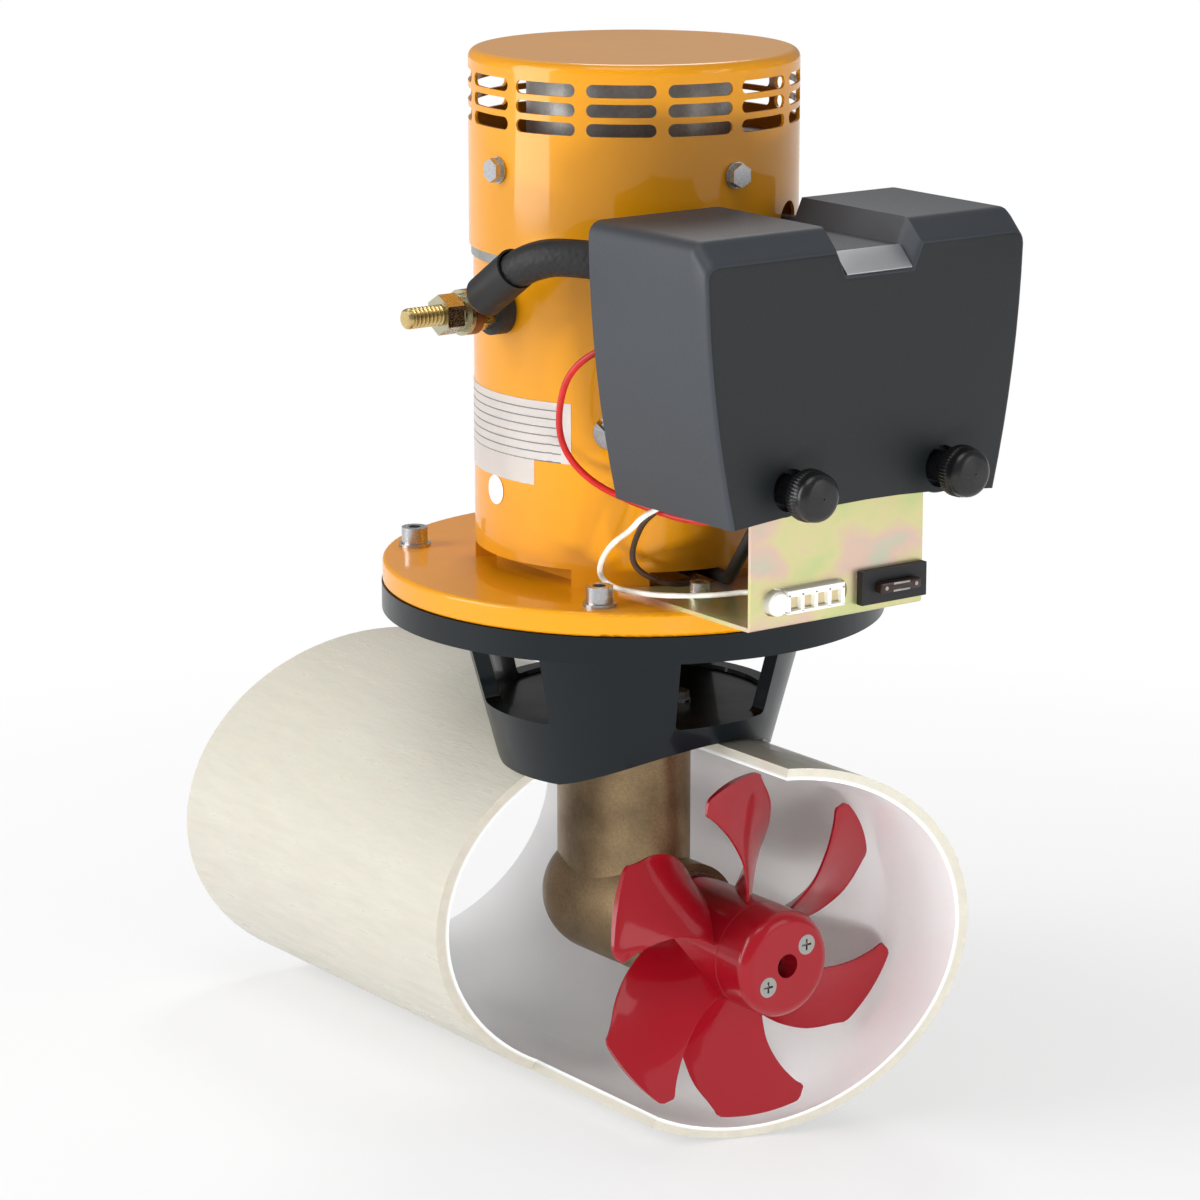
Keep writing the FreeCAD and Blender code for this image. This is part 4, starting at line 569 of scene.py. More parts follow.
YELLOW = Paint("yellow_enamel", srgb(230, 153, 4), 0.45)
CONE_ENAMEL = Paint("dark_enamel", srgb(9, 17, 22), 0.38, coat=0.25, peel_mm=0.008)
LAMINATE = Laminate("glass_laminate", srgb(205, 201, 187), 0.36)
SEALANT = Moulded("sealant", srgb(215, 213, 205), 0.6)
BRONZE = Casting("cast_bronze", srgb(150, 128, 96), 0.42)
COUPLING = Casting("coupling_bronze", srgb(150, 95, 60), 0.4, skin_mm=0.04)
RED = Paint("propeller_red", srgb(142, 8, 24), 0.35, coat=0.5, peel_mm=0.0)
BOX_GREY = BoxPlastic("box_grey", srgb(52, 56, 62), 0.5, grain_mm=0.012, grain_scale=1300)
BLACK_GLOSS = Moulded("black_gloss", srgb(20, 20, 22), 0.3, grain_mm=0.01)
BLACK_MATT = Moulded("black_matt", srgb(28, 28, 30), 0.55)
FUSE_BROWN = Paint("fuse_brown", srgb(48, 30, 24), 0.2, coat=0.5)
WHITE_NYLON = Moulded("white_nylon", srgb(240, 239, 232), 0.38, grain_mm=0.01)
POCKET_BEIGE = Moulded("pocket_beige", srgb(186, 172, 138), 0.6, grain_mm=0.01)
STEEL = Metal("zinc_steel", srgb(188, 188, 190), 0.3)
STAINLESS = Metal("stainless", srgb(176, 174, 170), 0.34)
TURNED_STEEL = Metal("turned_steel", srgb(190, 190, 192), 0.28, lay=Lay.AROUND)
BARE_CASTING = Casting("bare_casting", srgb(168, 168, 166), 0.45, skin_mm=0.03)
IRON = Casting("bare_iron", srgb(105, 102, 98), 0.5, skin_mm=0.05)
COPPER = Metal("copper", srgb(196, 112, 70), 0.35, tarnish=srgb(90, 50, 35),
               tarnish_share=0.5)
BRASS = Metal("brass", srgb(210, 186, 128), 0.3, tarnish=srgb(150, 128, 92),
              tarnish_share=0.3)
PLATED_NUT = Metal("plated_nut", srgb(186, 182, 158), 0.26, tarnish=srgb(120, 108, 84),
                   tarnish_share=0.2)
TINNED = Metal("tinned_lug", srgb(138, 104, 84), 0.4, tarnish=srgb(100, 76, 62),
               tarnish_share=0.5)
SILVER_FOIL = Metal("silver_foil", srgb(226, 227, 230), 0.42, lay=Lay.ALONG_X,
                    tarnish_share=0.02)
ZINC = Passivated("passivated_zinc", srgb(214, 208, 160), 0.36)
CABLE_BLACK = Sleeve("cable_black", srgb(15, 15, 17), 0.45)
WOVEN_BLACK = Sleeve("woven_black", srgb(20, 20, 22), 0.5, weave=420, weave_mm=0.25)
WIRE_RED = Sleeve("wire_red", srgb(190, 28, 26), 0.35)
WIRE_WHITE = Sleeve("wire_white", srgb(238, 234, 222), 0.35)
WIRE_BROWN = Sleeve("wire_brown", srgb(62, 42, 30), 0.4)
STICKER_RULED = Sticker("sticker_ruled", srgb(252, 252, 252), 0.4, rows=7)
STICKER_PLAIN = Sticker("sticker_plain", srgb(252, 252, 252), 0.4)


# ---- scene and mesh helpers -----------------------------------------------------------

def metres(*place: float) -> tuple[float, ...]:
    """A place given in millimetres, in metres."""
    return tuple(part * MM for part in place)


def shown(name: str, data: bpy.types.ID) -> bpy.types.Object:
    """A new object that holds some data, linked into the scene.

    Args:
        name: the name of what is made.
        data: what the object holds.

    Returns:
        The new object.
    """
    thing = bpy.data.objects.new(name, data)
    bpy.context.scene.collection.objects.link(thing)
    return thing


def settled(name: str, mesh: Mesh) -> bpy.types.Mesh:
    """The mesh data made from a bmesh, which is freed.

    Args:
        name: the name of what is made.
        mesh: the mesh, which is freed.

    Returns:
        The mesh data.
    """
    data = bpy.data.meshes.new(name)
    mesh.to_mesh(data)
    mesh.free()
    return data


def looking(way: Vector) -> Euler:
    """The turn that makes a lamp or a camera look along a direction."""
    return way.to_track_quat("-Z", "Y").to_euler()


def outward(mesh: Mesh) -> Mesh:
    """The mesh, with its faces turned to look outward."""
    bmesh.ops.recalc_face_normals(mesh, faces=mesh.faces)
    return mesh


def thickened(mesh: Mesh, wall: float) -> Mesh:
    """An open skin given a wall, in millimetres."""
    bmesh.ops.solidify(mesh, geom=mesh.faces, thickness=wall * MM)
    return outward(mesh)


def rounded(mesh: Mesh, edges: Iterable[bmesh.types.BMEdge], offset: float,
            segments: int = 2, clamp: bool = False) -> Mesh:
    """Round some edges of a mesh.

    Args:
        mesh: the mesh.
        edges: the edges to round.
        offset: how far each side is cut back, in millimetres.
        segments: steps across each rounded edge.
        clamp: whether the cut is held back where edges are close together.

    Returns:
        The same mesh.
    """
    bmesh.ops.bevel(mesh, geom=edges, offset=offset * MM, segments=segments, profile=0.5,
                    affect="EDGES", material=-1, clamp_overlap=clamp)
    return mesh


class Axis(Enum):
    """An axis that a piece is turned about: its direction, and where its outline lies."""

    X = ((1, 0, 0), (0, 0, 1))
    Y = ((0, 1, 0), (1, 0, 0))


def spun(profile: Sequence[Pair], axis: Axis, segments: int = 64,
         centre: Point = (0, 0, 0)) -> Mesh:
    """A closed body of revolution, in millimetres.

    Args:
        profile: (place along the axis, radius) pairs; the ends lie on the axis or the
            outline is a closed ring of a hollow piece.
        axis: the axis to turn about.
        segments: steps round the turn.
        centre: a point that the axis passes through.

    Returns:
        The turned mesh.
    """
    same_place = 1e-6
    mesh = bmesh.new()
    along, across = (Vector(way) for way in axis.value)
    points = [mesh.verts.new(along * (place * MM) + across * (radius * MM))
              for place, radius in profile]
    edges = [mesh.edges.new(pair) for pair in zip(points, points[1:])]
    if min(radius for _, radius in profile) * MM > same_place:
        edges.append(mesh.edges.new((points[-1], points[0])))
    bmesh.ops.spin(mesh, geom=points + edges, cent=(0, 0, 0), axis=along,
                   angle=2 * math.pi, steps=segments, use_merge=True)
    bmesh.ops.remove_doubles(mesh, verts=mesh.verts, dist=same_place)
    bmesh.ops.translate(outward(mesh), verts=mesh.verts, vec=metres(*centre))
    return mesh


def rod(start: Point, end: Point, radius: float) -> Mesh:
    """A round bar, in millimetres.

    Args:
        start: the middle of one end.
        end: the middle of the other end.
        radius: the bar's radius.

    Returns:
        The bar's mesh.
    """
    mesh = bmesh.new()
    way = (Vector(end) - Vector(start)) * MM
    middle = (Vector(end) + Vector(start)) / 2 * MM
    turn = way.to_track_quat("Z", "Y").to_matrix().to_4x4()
    bmesh.ops.create_cone(mesh, cap_ends=True, segments=32, radius1=radius * MM,
                          radius2=radius * MM, depth=way.length,
                          matrix=Matrix.Translation(middle) @ turn)
    return mesh


def block(low: Point, high: Point, edge: float) -> Mesh:
    """A box with rounded edges, in millimetres.

    Args:
        low: its corner with the lowest X, Y and Z.
        high: its opposite corner.
        edge: how far its edges are rounded.

    Returns:
        The box's mesh.
    """
    mesh = bmesh.new()
    size = [(b - a) * MM for a, b in zip(low, high)]
    centre = [(a + b) / 2 * MM for a, b in zip(low, high)]
    bmesh.ops.create_cube(mesh, size=1, matrix=Matrix.Translation(centre)
                          @ Matrix.Diagonal((*size, 1)))
    return rounded(mesh, mesh.edges, edge)


def joined(parts: Iterable[Mesh]) -> Mesh:
    """Several meshes in one, the separate ones being freed.

    Args:
        parts: the meshes to join.

    Returns:
        The joined mesh.
    """
    whole = bmesh.new()
    for part in parts:
        held = settled("held", part)
        whole.from_mesh(held)
        bpy.data.meshes.remove(held)
    return whole


class Workshop:
    """Holds the loaded frame and the materials already made, and finishes pieces."""

    def __init__(self) -> None:
        """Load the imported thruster."""
        self.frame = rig.load()
        self.cad_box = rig.bounds()
        self.made: dict[str, bpy.types.Material] = {}
        record = self.frame["record"]
        self.body_of = {node: body for body, nodes in record["behaviour"]["bodies"].items()
                        for node in nodes}
        self.slot_of = {entry["node"]: entry["material_slot"] for entry in record["subparts"]}

    def material(self, finish: Finish) -> bpy.types.Material:
        """The material of a finish, made the first time it is asked for."""
        if finish.name not in self.made:
            self.made[finish.name] = finish.build()
        return self.made[finish.name]

    def coat(self, thing: bpy.types.Object, finish: Finish) -> None:
        """Put one finish on the whole of an object.

        Args:
            thing: the object.
            finish: the finish, which takes the place of every material on it.
        """
        material = self.material(finish)
        if not thing.material_slots:
            thing.data.materials.append(material)
        for slot in thing.material_slots:
            slot.link = "OBJECT"
            slot.material = material

    def dress(self, finishes: dict[str, Finish]) -> None:
        """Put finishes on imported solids, by node name."""
        for node, finish in finishes.items():
            self.coat(self.frame["nodes"][node], finish)

    def add(self, name: str, mesh: Mesh, finish: Finish, stands_for: Sequence[str],
            rides_with: str, smooth: float = 35) -> None:
        """Turn a finished bmesh into a piece of the thruster.

        Args:
            name: the piece's name.
            mesh: the built mesh, which is freed.
            finish: the piece's finish.
            stands_for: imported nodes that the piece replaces.
            rides_with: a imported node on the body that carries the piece.
            smooth: the widest angle, in degrees, that is shaded smooth.
        """
        data = settled(name, mesh)
        for face in data.polygons:
            face.use_smooth = True
        piece = shown(name, data)
        data.set_sharp_from_angle(angle=math.radians(smooth))
        self.coat(piece, finish)
        self.carry(piece, rides_with, stands_for)

    def carry(self, piece: bpy.types.Object, rides_with: str,
              stands_for: Sequence[str] = ()) -> None:
        """Let a piece ride on a node's body and take its slot and place.

        Args:
            piece: the piece.
            rides_with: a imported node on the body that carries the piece.
            stands_for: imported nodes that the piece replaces.
        """
        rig.ride(piece, self.body_of[rides_with])
        if stands_for:
            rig.replaces(piece, *stands_for)
        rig.slot(piece, self.slot_of[rides_with])
        log.info("piece %s rides on %s", piece.name, self.body_of[rides_with])

    def write_sizes(self, path: str) -> None:
        """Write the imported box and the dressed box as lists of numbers."""
        low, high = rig.bounds()
        with open(path, "w") as sheet:
            json.dump({"cad": [list(self.cad_box[0]), list(self.cad_box[1])],
                       "visual": [list(low), list(high)]}, sheet)


# ---- the propeller --------------------------------------------------------------------

class BladeSection(NamedTuple):
    """One section of a blade, square to its radius: sizes in millimetres, skew in degrees."""

    share: float
    across: float
    along: float
    middle: float
    thick: float
    skew: float

    def towards(self, other: BladeSection, share: float) -> BladeSection:
        """The section at a share of the tip radius, on a straight line to another one."""
        part = (share - self.share) / (other.share - self.share)
        return BladeSection(*(a + (b - a) * part for a, b in zip(self, other)))


@dataclass
class Propeller:
    """Six-bladed propeller with its hub, hub cap, screws and shaft fittings."""

    tip: float = 87
    hub: float = 26.5
    bore: float = 7.6
    rear: float = 52
    front: float = 103
    rear_edge: float = 1.2
    front_edge: float = 0.6
    phase: float = 35
    blades: int = 6
    foot: float = 0.25
    edge: float = 0.6
    corner: float = 5.5
    cuts: int = 23
    sections: tuple[BladeSection, ...] = (
        BladeSection(0.24, 22, 38, 80, 9, -22), BladeSection(0.37, 26, 35, 82, 7, -20),
        BladeSection(0.53, 33, 30, 85, 5.5, -16.5), BladeSection(0.69, 41, 24, 88, 4.4, -11),
        BladeSection(0.83, 46, 19, 90.5, 3.6, -5.5), BladeSection(0.963, 47, 15, 92.5, 3, 0),
        BladeSection(1.05, 46, 14, 93, 3, 2))

    def section(self, share: float) -> BladeSection:
        """The section of a blade, on a smooth line through the table.

        Args:
            share: the section's share of the tip radius.

        Returns:
            The section.
        """
        rows = self.sections
        place = 0
        while place < len(rows) - 2 and share > rows[place + 1].share:
            place += 1
        low, high = rows[place], rows[place + 1]
        part = (share - low.share) / (high.share - low.share)
        left = rows[place - 1].towards(high, low.share) if place else low
        right = low.towards(rows[min(place + 2, len(rows) - 1)], high.share)
        bend = part * (1 - part) * 0.5
        lift = (bend * ((a - b) * (1 - part) + (c - d) * part)
                for a, b, c, d in zip(low, left, high, right))
        return BladeSection(*(a + b for a, b in zip(low.towards(high, share), lift)))

    def blade(self, angle: float) -> Mesh:
        """One blade, bent out of a subdivided slab.

        Args:
            angle: the blade's turn about the shaft, in degrees.

        Returns:
            The blade's mesh, closed, with rounded edges.
        """
        mesh = bmesh.new()
        bmesh.ops.create_cube(mesh, size=2)
        upright = [edge for edge in mesh.edges if abs(edge.verts[0].co.z - edge.verts[1].co.z) > 1]
        wide = [edge for edge in mesh.edges if abs(edge.verts[0].co.x - edge.verts[1].co.x) > 1]
        bmesh.ops.subdivide_edges(mesh, edges=upright + wide, cuts=self.cuts, use_grid_fill=True)
        rim = [edge for edge in mesh.edges if self.on_rim(edge)]
        for vert in mesh.verts:
            self.bend(vert)
        rounded(mesh, rim, self.edge * 0.8, 3, True)
        bmesh.ops.rotate(mesh, verts=mesh.verts, cent=(0, 0, 0),
                         matrix=Matrix.Rotation(math.radians(angle), 3, "X"))
        return outward(mesh)

    def on_rim(self, edge: bmesh.types.BMEdge) -> bool:
        """Whether an edge of the slab lies on the rim of one of its two broad faces.

        Args:
            edge: an edge of the two-unit slab.

        Returns:
            True along both sides and the tip, and False along the foot.
        """
        ends = [vert.co for vert in edge.verts]
        outer = 0.99
        return (all(abs(end.y) > outer for end in ends) and abs(ends[0].y - ends[1].y) < 0.1
                and (all(abs(end.x) > outer for end in ends)
                     or all(end.z > outer for end in ends)))

    def bend(self, vert: bmesh.types.BMVert) -> None:
        """Carry a vertex of the slab to its place on the blade that stands along +Y.

        Args:
            vert: a vertex of the two-unit slab.
        """
        side, face, up = vert.co.x, vert.co.y, (vert.co.z + 1) / 2
        share = self.foot + (1 - self.foot) * up
        size = self.section(share)
        half = math.hypot(size.across, size.along) / 2
        beyond = max(0.0, abs(side) - 1 + self.corner / half) * half / self.corner
        drop = self.corner * (1 - math.sqrt(max(0.0, 1 - beyond * beyond)))
        radius = self.tip * share - drop * up ** 6
        rise = face * (self.edge + (size.thick / 2 - self.edge) * (1 - side * side))
        pitch = math.atan2(size.along, size.across)
        forward = side * half * math.sin(pitch) + rise * math.cos(pitch)
        around = side * half * math.cos(pitch) - rise * math.sin(pitch)
        turn = around / radius + math.radians(size.skew)
        vert.co = metres(size.middle + forward, radius * math.cos(turn), radius * math.sin(turn))

    def hub_body(self) -> Mesh:
        """The hub: a barrel with softened ends and a bore for the shaft."""
        rear, front = self.rear_edge, self.front_edge
        return spun([(self.rear, self.bore), (self.rear, self.hub - rear),
                     (self.rear + rear, self.hub), (self.front - front, self.hub),
                     (self.front, self.hub - front), (self.front, self.bore)], Axis.X, 96)

    def build(self, shop: Workshop) -> None:
        """Build the propeller's pieces and dress its fittings.

        Args:
            shop: the workshop that holds the frame.
        """
        parts = [self.blade(self.phase + 360 / self.blades * i) for i in range(self.blades)]
        shop.add("propeller_blades", joined([self.hub_body()] + parts), RED,
                 ["propeller"], "propeller", smooth=40)
        shop.dress({
            "hub_cap": RED, "hub_cap_screws": STAINLESS, "propeller_shaft": TURNED_STEEL,
            "propeller_nut": STAINLESS, "drive_pin": STAINLESS, "bevel_wheel": STEEL,
        })


# ---- the leg and the mounting ---------------------------------------------------------

class Leg:
    """Gear housing, shafts, bearings and bolts of the underwater leg."""

    def build(self, shop: Workshop) -> None:
        """Dress the leg."""
        shop.dress({
            "tailpiece_housing": BRONZE, "tailpiece_bolts": STAINLESS, "leg_bearings": STEEL,
            "shaft_seals": BLACK_MATT, "bearing_cap": TURNED_STEEL, "drive_shaft": TURNED_STEEL,
            "bevel_pinion": STEEL, "coupling_upper": COUPLING, "coupling_lower": COUPLING,
            "coupling_spider": BLACK_MATT,
        })


class Mounting:
    """Tunnel tube, gasket, windowed flange and mounting plate."""

    def build(self, shop: Workshop) -> None:
        """Dress the tunnel and what stands on it."""
        shop.dress({
            "tunnel": LAMINATE, "tunnel_gasket": SEALANT, "support_flange": CONE_ENAMEL,
            "mounting_plate": YELLOW, "plate_screws": STEEL,
        })


# ---- the motor ------------------------------------------------------------------------

@dataclass(frozen=True)
class Patch:
    """A sticker on the yoke: its span round the motor in degrees, and its heights."""

    name: str
    start: float
    end: float
    low: float
    high: float
    finish: Finish


@dataclass
class Motor:
    """Yoke, end bells, fan cover, field parts, armature and the plain stickers."""

    skin: float = 78
    film: float = 0.25
    patches: tuple[Patch, ...] = (
        Patch("sticker_wide", -136, -59, 241, 270, STICKER_RULED),
        Patch("sticker_low", -127, -74, 229, 241, STICKER_PLAIN),
    )
    dot_angle: float = -95
    dot_height: float = 222
    dot_radius: float = 7

    def wrapped(self, vert: bmesh.types.BMVert, lift: float, turn: float, height: float) -> None:
        """Carry a vertex of a film onto the yoke.

        Args:
            vert: the vertex.
            lift: how many films it lies above the yoke's skin.
            turn: its angle round the motor, in radians.
            height: its height, in millimetres.
        """
        reach = self.skin + self.film * lift
        vert.co = metres(reach * math.cos(turn), reach * math.sin(turn), height)

    def sticker(self, patch: Patch) -> Mesh:
        """A film bent round the yoke, with its own UV map.

        Args:
            patch: where the film lies.

        Returns:
            The film's mesh.
        """
        mesh = bmesh.new()
        bmesh.ops.create_grid(mesh, x_segments=32, y_segments=2, size=0.5,
                              matrix=Matrix.Identity(4), calc_uvs=True)
        sheet = mesh.loops.layers.uv.active or mesh.loops.layers.uv.new("UVMap")
        for face in mesh.faces:
            for loop in face.loops:
                loop[sheet].uv = (loop.vert.co.x + 0.5, loop.vert.co.y + 0.5)
        for vert in mesh.verts:
            angle = patch.start + (patch.end - patch.start) * (vert.co.x + 0.5)
            height = patch.low + (patch.high - patch.low) * (vert.co.y + 0.5)
            self.wrapped(vert, 1, math.radians(angle), height)
        return thickened(mesh, self.film * 0.8)

    def round_sticker(self) -> Mesh:
        """A small round film bent round the yoke.

        Returns:
            The film's mesh.
        """
        above = 1.6
        mesh = bmesh.new()
        bmesh.ops.create_circle(mesh, cap_ends=True, segments=32, radius=self.dot_radius)
        bmesh.ops.subdivide_edges(mesh, edges=mesh.edges, cuts=1)
        for vert in mesh.verts:
            around = vert.co.x / (self.skin + self.film * above)
            self.wrapped(vert, above, math.radians(self.dot_angle) + around,
                         self.dot_height + vert.co.y)
        return thickened(mesh, self.film * 0.8)

    def build(self, shop: Workshop) -> None:
        """Dress the motor and lay its stickers.

        Args:
            shop: the workshop that holds the frame.
        """
        shop.dress({
            "lower_bell": YELLOW, "motor_bearings": STEEL, "motor_yoke": YELLOW,
            "pole_screws": STEEL, "pole_shoes": IRON, "field_coils": COPPER,
            "upper_bell": BARE_CASTING, "brush_holders": BRASS, "carbon_brushes": BLACK_MATT,
            "fan_cover": YELLOW, "fan_cover_bolts": STEEL, "motor_shaft": TURNED_STEEL,
            "armature_core": IRON, "armature_windings": COPPER, "commutator": COPPER,
        })
        for patch in self.patches:
            shop.add(patch.name, self.sticker(patch), patch.finish, [], "motor_yoke")
        shop.add("sticker_round", self.round_sticker(), STICKER_PLAIN, [], "motor_yoke")


@dataclass
class Terminal:
    """Threaded brass stud with its insulator, nuts and cable lug."""

    height: float = 312
    radius: float = 5
    pitch: float = 2.2
    groove: float = 1.1
    root: float = 66
    end: float = 134
    thread_from: float = 86

    def stud(self) -> Mesh:
        """The stud with its thread cut as close rings.

        Returns:
            The stud's mesh.
        """
        outline = [(-self.root, 0.0), (-self.root, self.radius),
                   (-self.thread_from, self.radius)]
        place = self.thread_from
        while place + self.pitch < self.end - 1:
            for share, deep in ((0.12, 0), (0.5, self.groove), (0.88, 0)):
                outline.append((-(place + self.pitch * share), self.radius - deep))
            place += self.pitch
        outline += [(0.8 - self.end, self.radius - 0.3), (-self.end, self.radius - 1.2),
                    (-self.end, 0.0)]
        return spun(outline, Axis.Y, 32, (0, 0, self.height))

    def build(self, shop: Workshop) -> None:
        """Build the threaded stud and dress its fittings."""
        shop.add("terminal_thread", self.stud(), BRASS, ["terminal_stud"], "terminal_stud",
                 smooth=30)
        shop.dress({"stud_insulator": BLACK_MATT, "stud_nuts": PLATED_NUT, "cable_lug": TINNED})


# ---- the control box ------------------------------------------------------------------

# Where the box's middle and front lie, and its two knobs, in millimetres.
BOX_MIDDLE = 2.5
BOX_FRONT = 176
KNOB_SPACING = 90
KNOB_HEIGHT = 249


@dataclass
class ControlBox:
    """The knobs, and the connector and fuse that stand on the bracket."""

    face: float = 200
    rim: float = 12.2
    stem: float = 7.2
    stem_bore: float = 4.2
    core: float = 0.4
    sunk: float = 5.9
    lip: float = 0.7
    dome: float = 4.5
    ribs: int = 48
    rib_deep: float = 0.45
    bracket_front: float = 162
    connector_middle: float = -22
    sockets: int = 4
    socket_step: float = 8
    level: float = 193.5
    fuse_middle: float = 28.5
    proud: float = 4.8

    def knob(self, across: float) -> Mesh:
        """A knob: stem, ribbed rim and shallow domed face.

        Args:
            across: how far the knob stands from the box's middle, in millimetres.

        Returns:
            The knob's mesh.
        """
        face, rim, seat = self.face, self.rim, BOX_FRONT - self.sunk
        shoulder = rim - self.lip
        outline = [(seat, self.stem_bore), (seat, self.stem), (face - 15, self.stem),
                   (face - 14, 8.6), (face - 13.2, rim - 0.6), (face - 12.6, rim),
                   (face - 8.4, rim), (face - 7.8, shoulder)]
        for i in range(10):
            turn = math.radians(10 * i)
            outline.append((face - 0.8 - self.dome + self.dome * math.sin(turn),
                            shoulder - self.dome + self.dome * math.cos(turn)))
        outline += [(face - 0.2, 3.5), (face, self.core), (face - 14, self.core),
                    (face - 14, self.stem_bore)]
        mesh = spun(outline, Axis.X, self.ribs * 4)
        for vert in mesh.verts:
            reach = math.hypot(vert.co.y, vert.co.z)
            if abs(reach - rim * MM) < 0.05 * MM:
                angle = math.atan2(vert.co.z, vert.co.y)
                cut = self.rib_deep * MM * (0.5 + 0.5 * math.cos(self.ribs * angle))
                vert.co.y *= (reach - cut) / reach
                vert.co.z *= (reach - cut) / reach
        bmesh.ops.translate(mesh, verts=mesh.verts,
                            vec=metres(0, BOX_MIDDLE + across, KNOB_HEIGHT))
        return mesh

    def connector(self) -> Mesh:
        """The wire connector: a shell with a round lug and four square sockets.

        Returns:
            The connector's mesh.
        """
        level, left = self.level, self.connector_middle - 17
        front = self.bracket_front + self.proud
        rear, back = front - 9, self.bracket_front - 15
        start, end = left + 3, left + 37
        parts = [
            block((back, start, level - 5.6), (rear + 1, end, level + 5.6), 0.5),
            block((rear, start, level + 2.4), (front, end, level + 5.6), 0.5),
            block((rear, start, level - 5.6), (front, end, level - 4), 0.4)]
        for i in range(self.sockets + 1):
            across = start + self.socket_step * i
            parts.append(block((rear, across, level - 5.2), (front, across + 2, level + 4), 0.4))
        lug = [(rear, 0), (rear, 5.8), (front - 1.5, 5.8), (front - 0.3, 5), (front + 0.4, 3),
               (front + 0.6, 0)]
        parts.append(spun(lug, Axis.X, 48, (0, left - 1, level)))
        return joined(parts)

    def pockets(self) -> Mesh:
        """The floor of the connector's sockets.

        Returns:
            The floor's mesh.
        """
        level, middle = self.level, self.connector_middle + 3
        front = self.bracket_front + 1.8
        return block((front - 2, middle - 16, level - 4.6), (front, middle + 16, level + 3), 0.2)

    def blade_fuse(self) -> Mesh:
        """The fuse's moulded head and the stub between its blades."""
        front, middle, level = self.bracket_front, self.fuse_middle, self.level
        return joined([
            block((front + 4, middle - 12, level - 2.4), (front + 9, middle + 12, level + 2.4),
                  0.6),
            block((front - 5.9, middle - 9, level - 2.3), (front + 4.1, middle + 9, level + 2.3),
                  0.4)])

    def fuse_metal(self) -> Mesh:
        """Bright strips and contact points on the face of the fuse.

        Returns:
            The joined strips and points.
        """
        front, middle, level = self.bracket_front + 8.8, self.fuse_middle, self.level
        parts = [block((front, middle - 5, height - 0.5), (front + 0.6, middle + 5, height + 0.5),
                       0.15)
                 for height in (level - 1.7, level + 1.7)]
        point = [(front, 0), (front, 1), (front + 0.5, 1), (front + 0.5, 0)]
        parts += [spun(point, Axis.X, 16, (0, middle + across, level)) for across in (-9, 9)]
        return joined(parts)

    def build(self, shop: Workshop) -> None:
        """Build the connector, the fuse and the knobs, and dress the bracket.

        Args:
            shop: the workshop that holds the frame.
        """
        shop.add("connector_shell", self.connector(), WHITE_NYLON, ["connector_housing"],
                 "connector_housing", smooth=30)
        shop.add("connector_pockets", self.pockets(), POCKET_BEIGE, [], "connector_housing")
        shop.add("fuse_body", self.blade_fuse(), FUSE_BROWN, ["fuse"], "fuse")
        shop.add("fuse_metal", self.fuse_metal(), STAINLESS, [], "fuse")
        for node, side in (("knob_left", -0.5), ("knob_right", 0.5)):
            shop.add(node + "_ribbed", self.knob(side * KNOB_SPACING), BLACK_GLOSS, [node], node)
        shop.dress({
            "cover_studs": STEEL, "control_bracket": ZINC, "bracket_screws": STEEL,
            "fuse_holder": BLACK_MATT, "solenoid_block": BLACK_MATT,
            "solenoid_terminals": COPPER,
        })


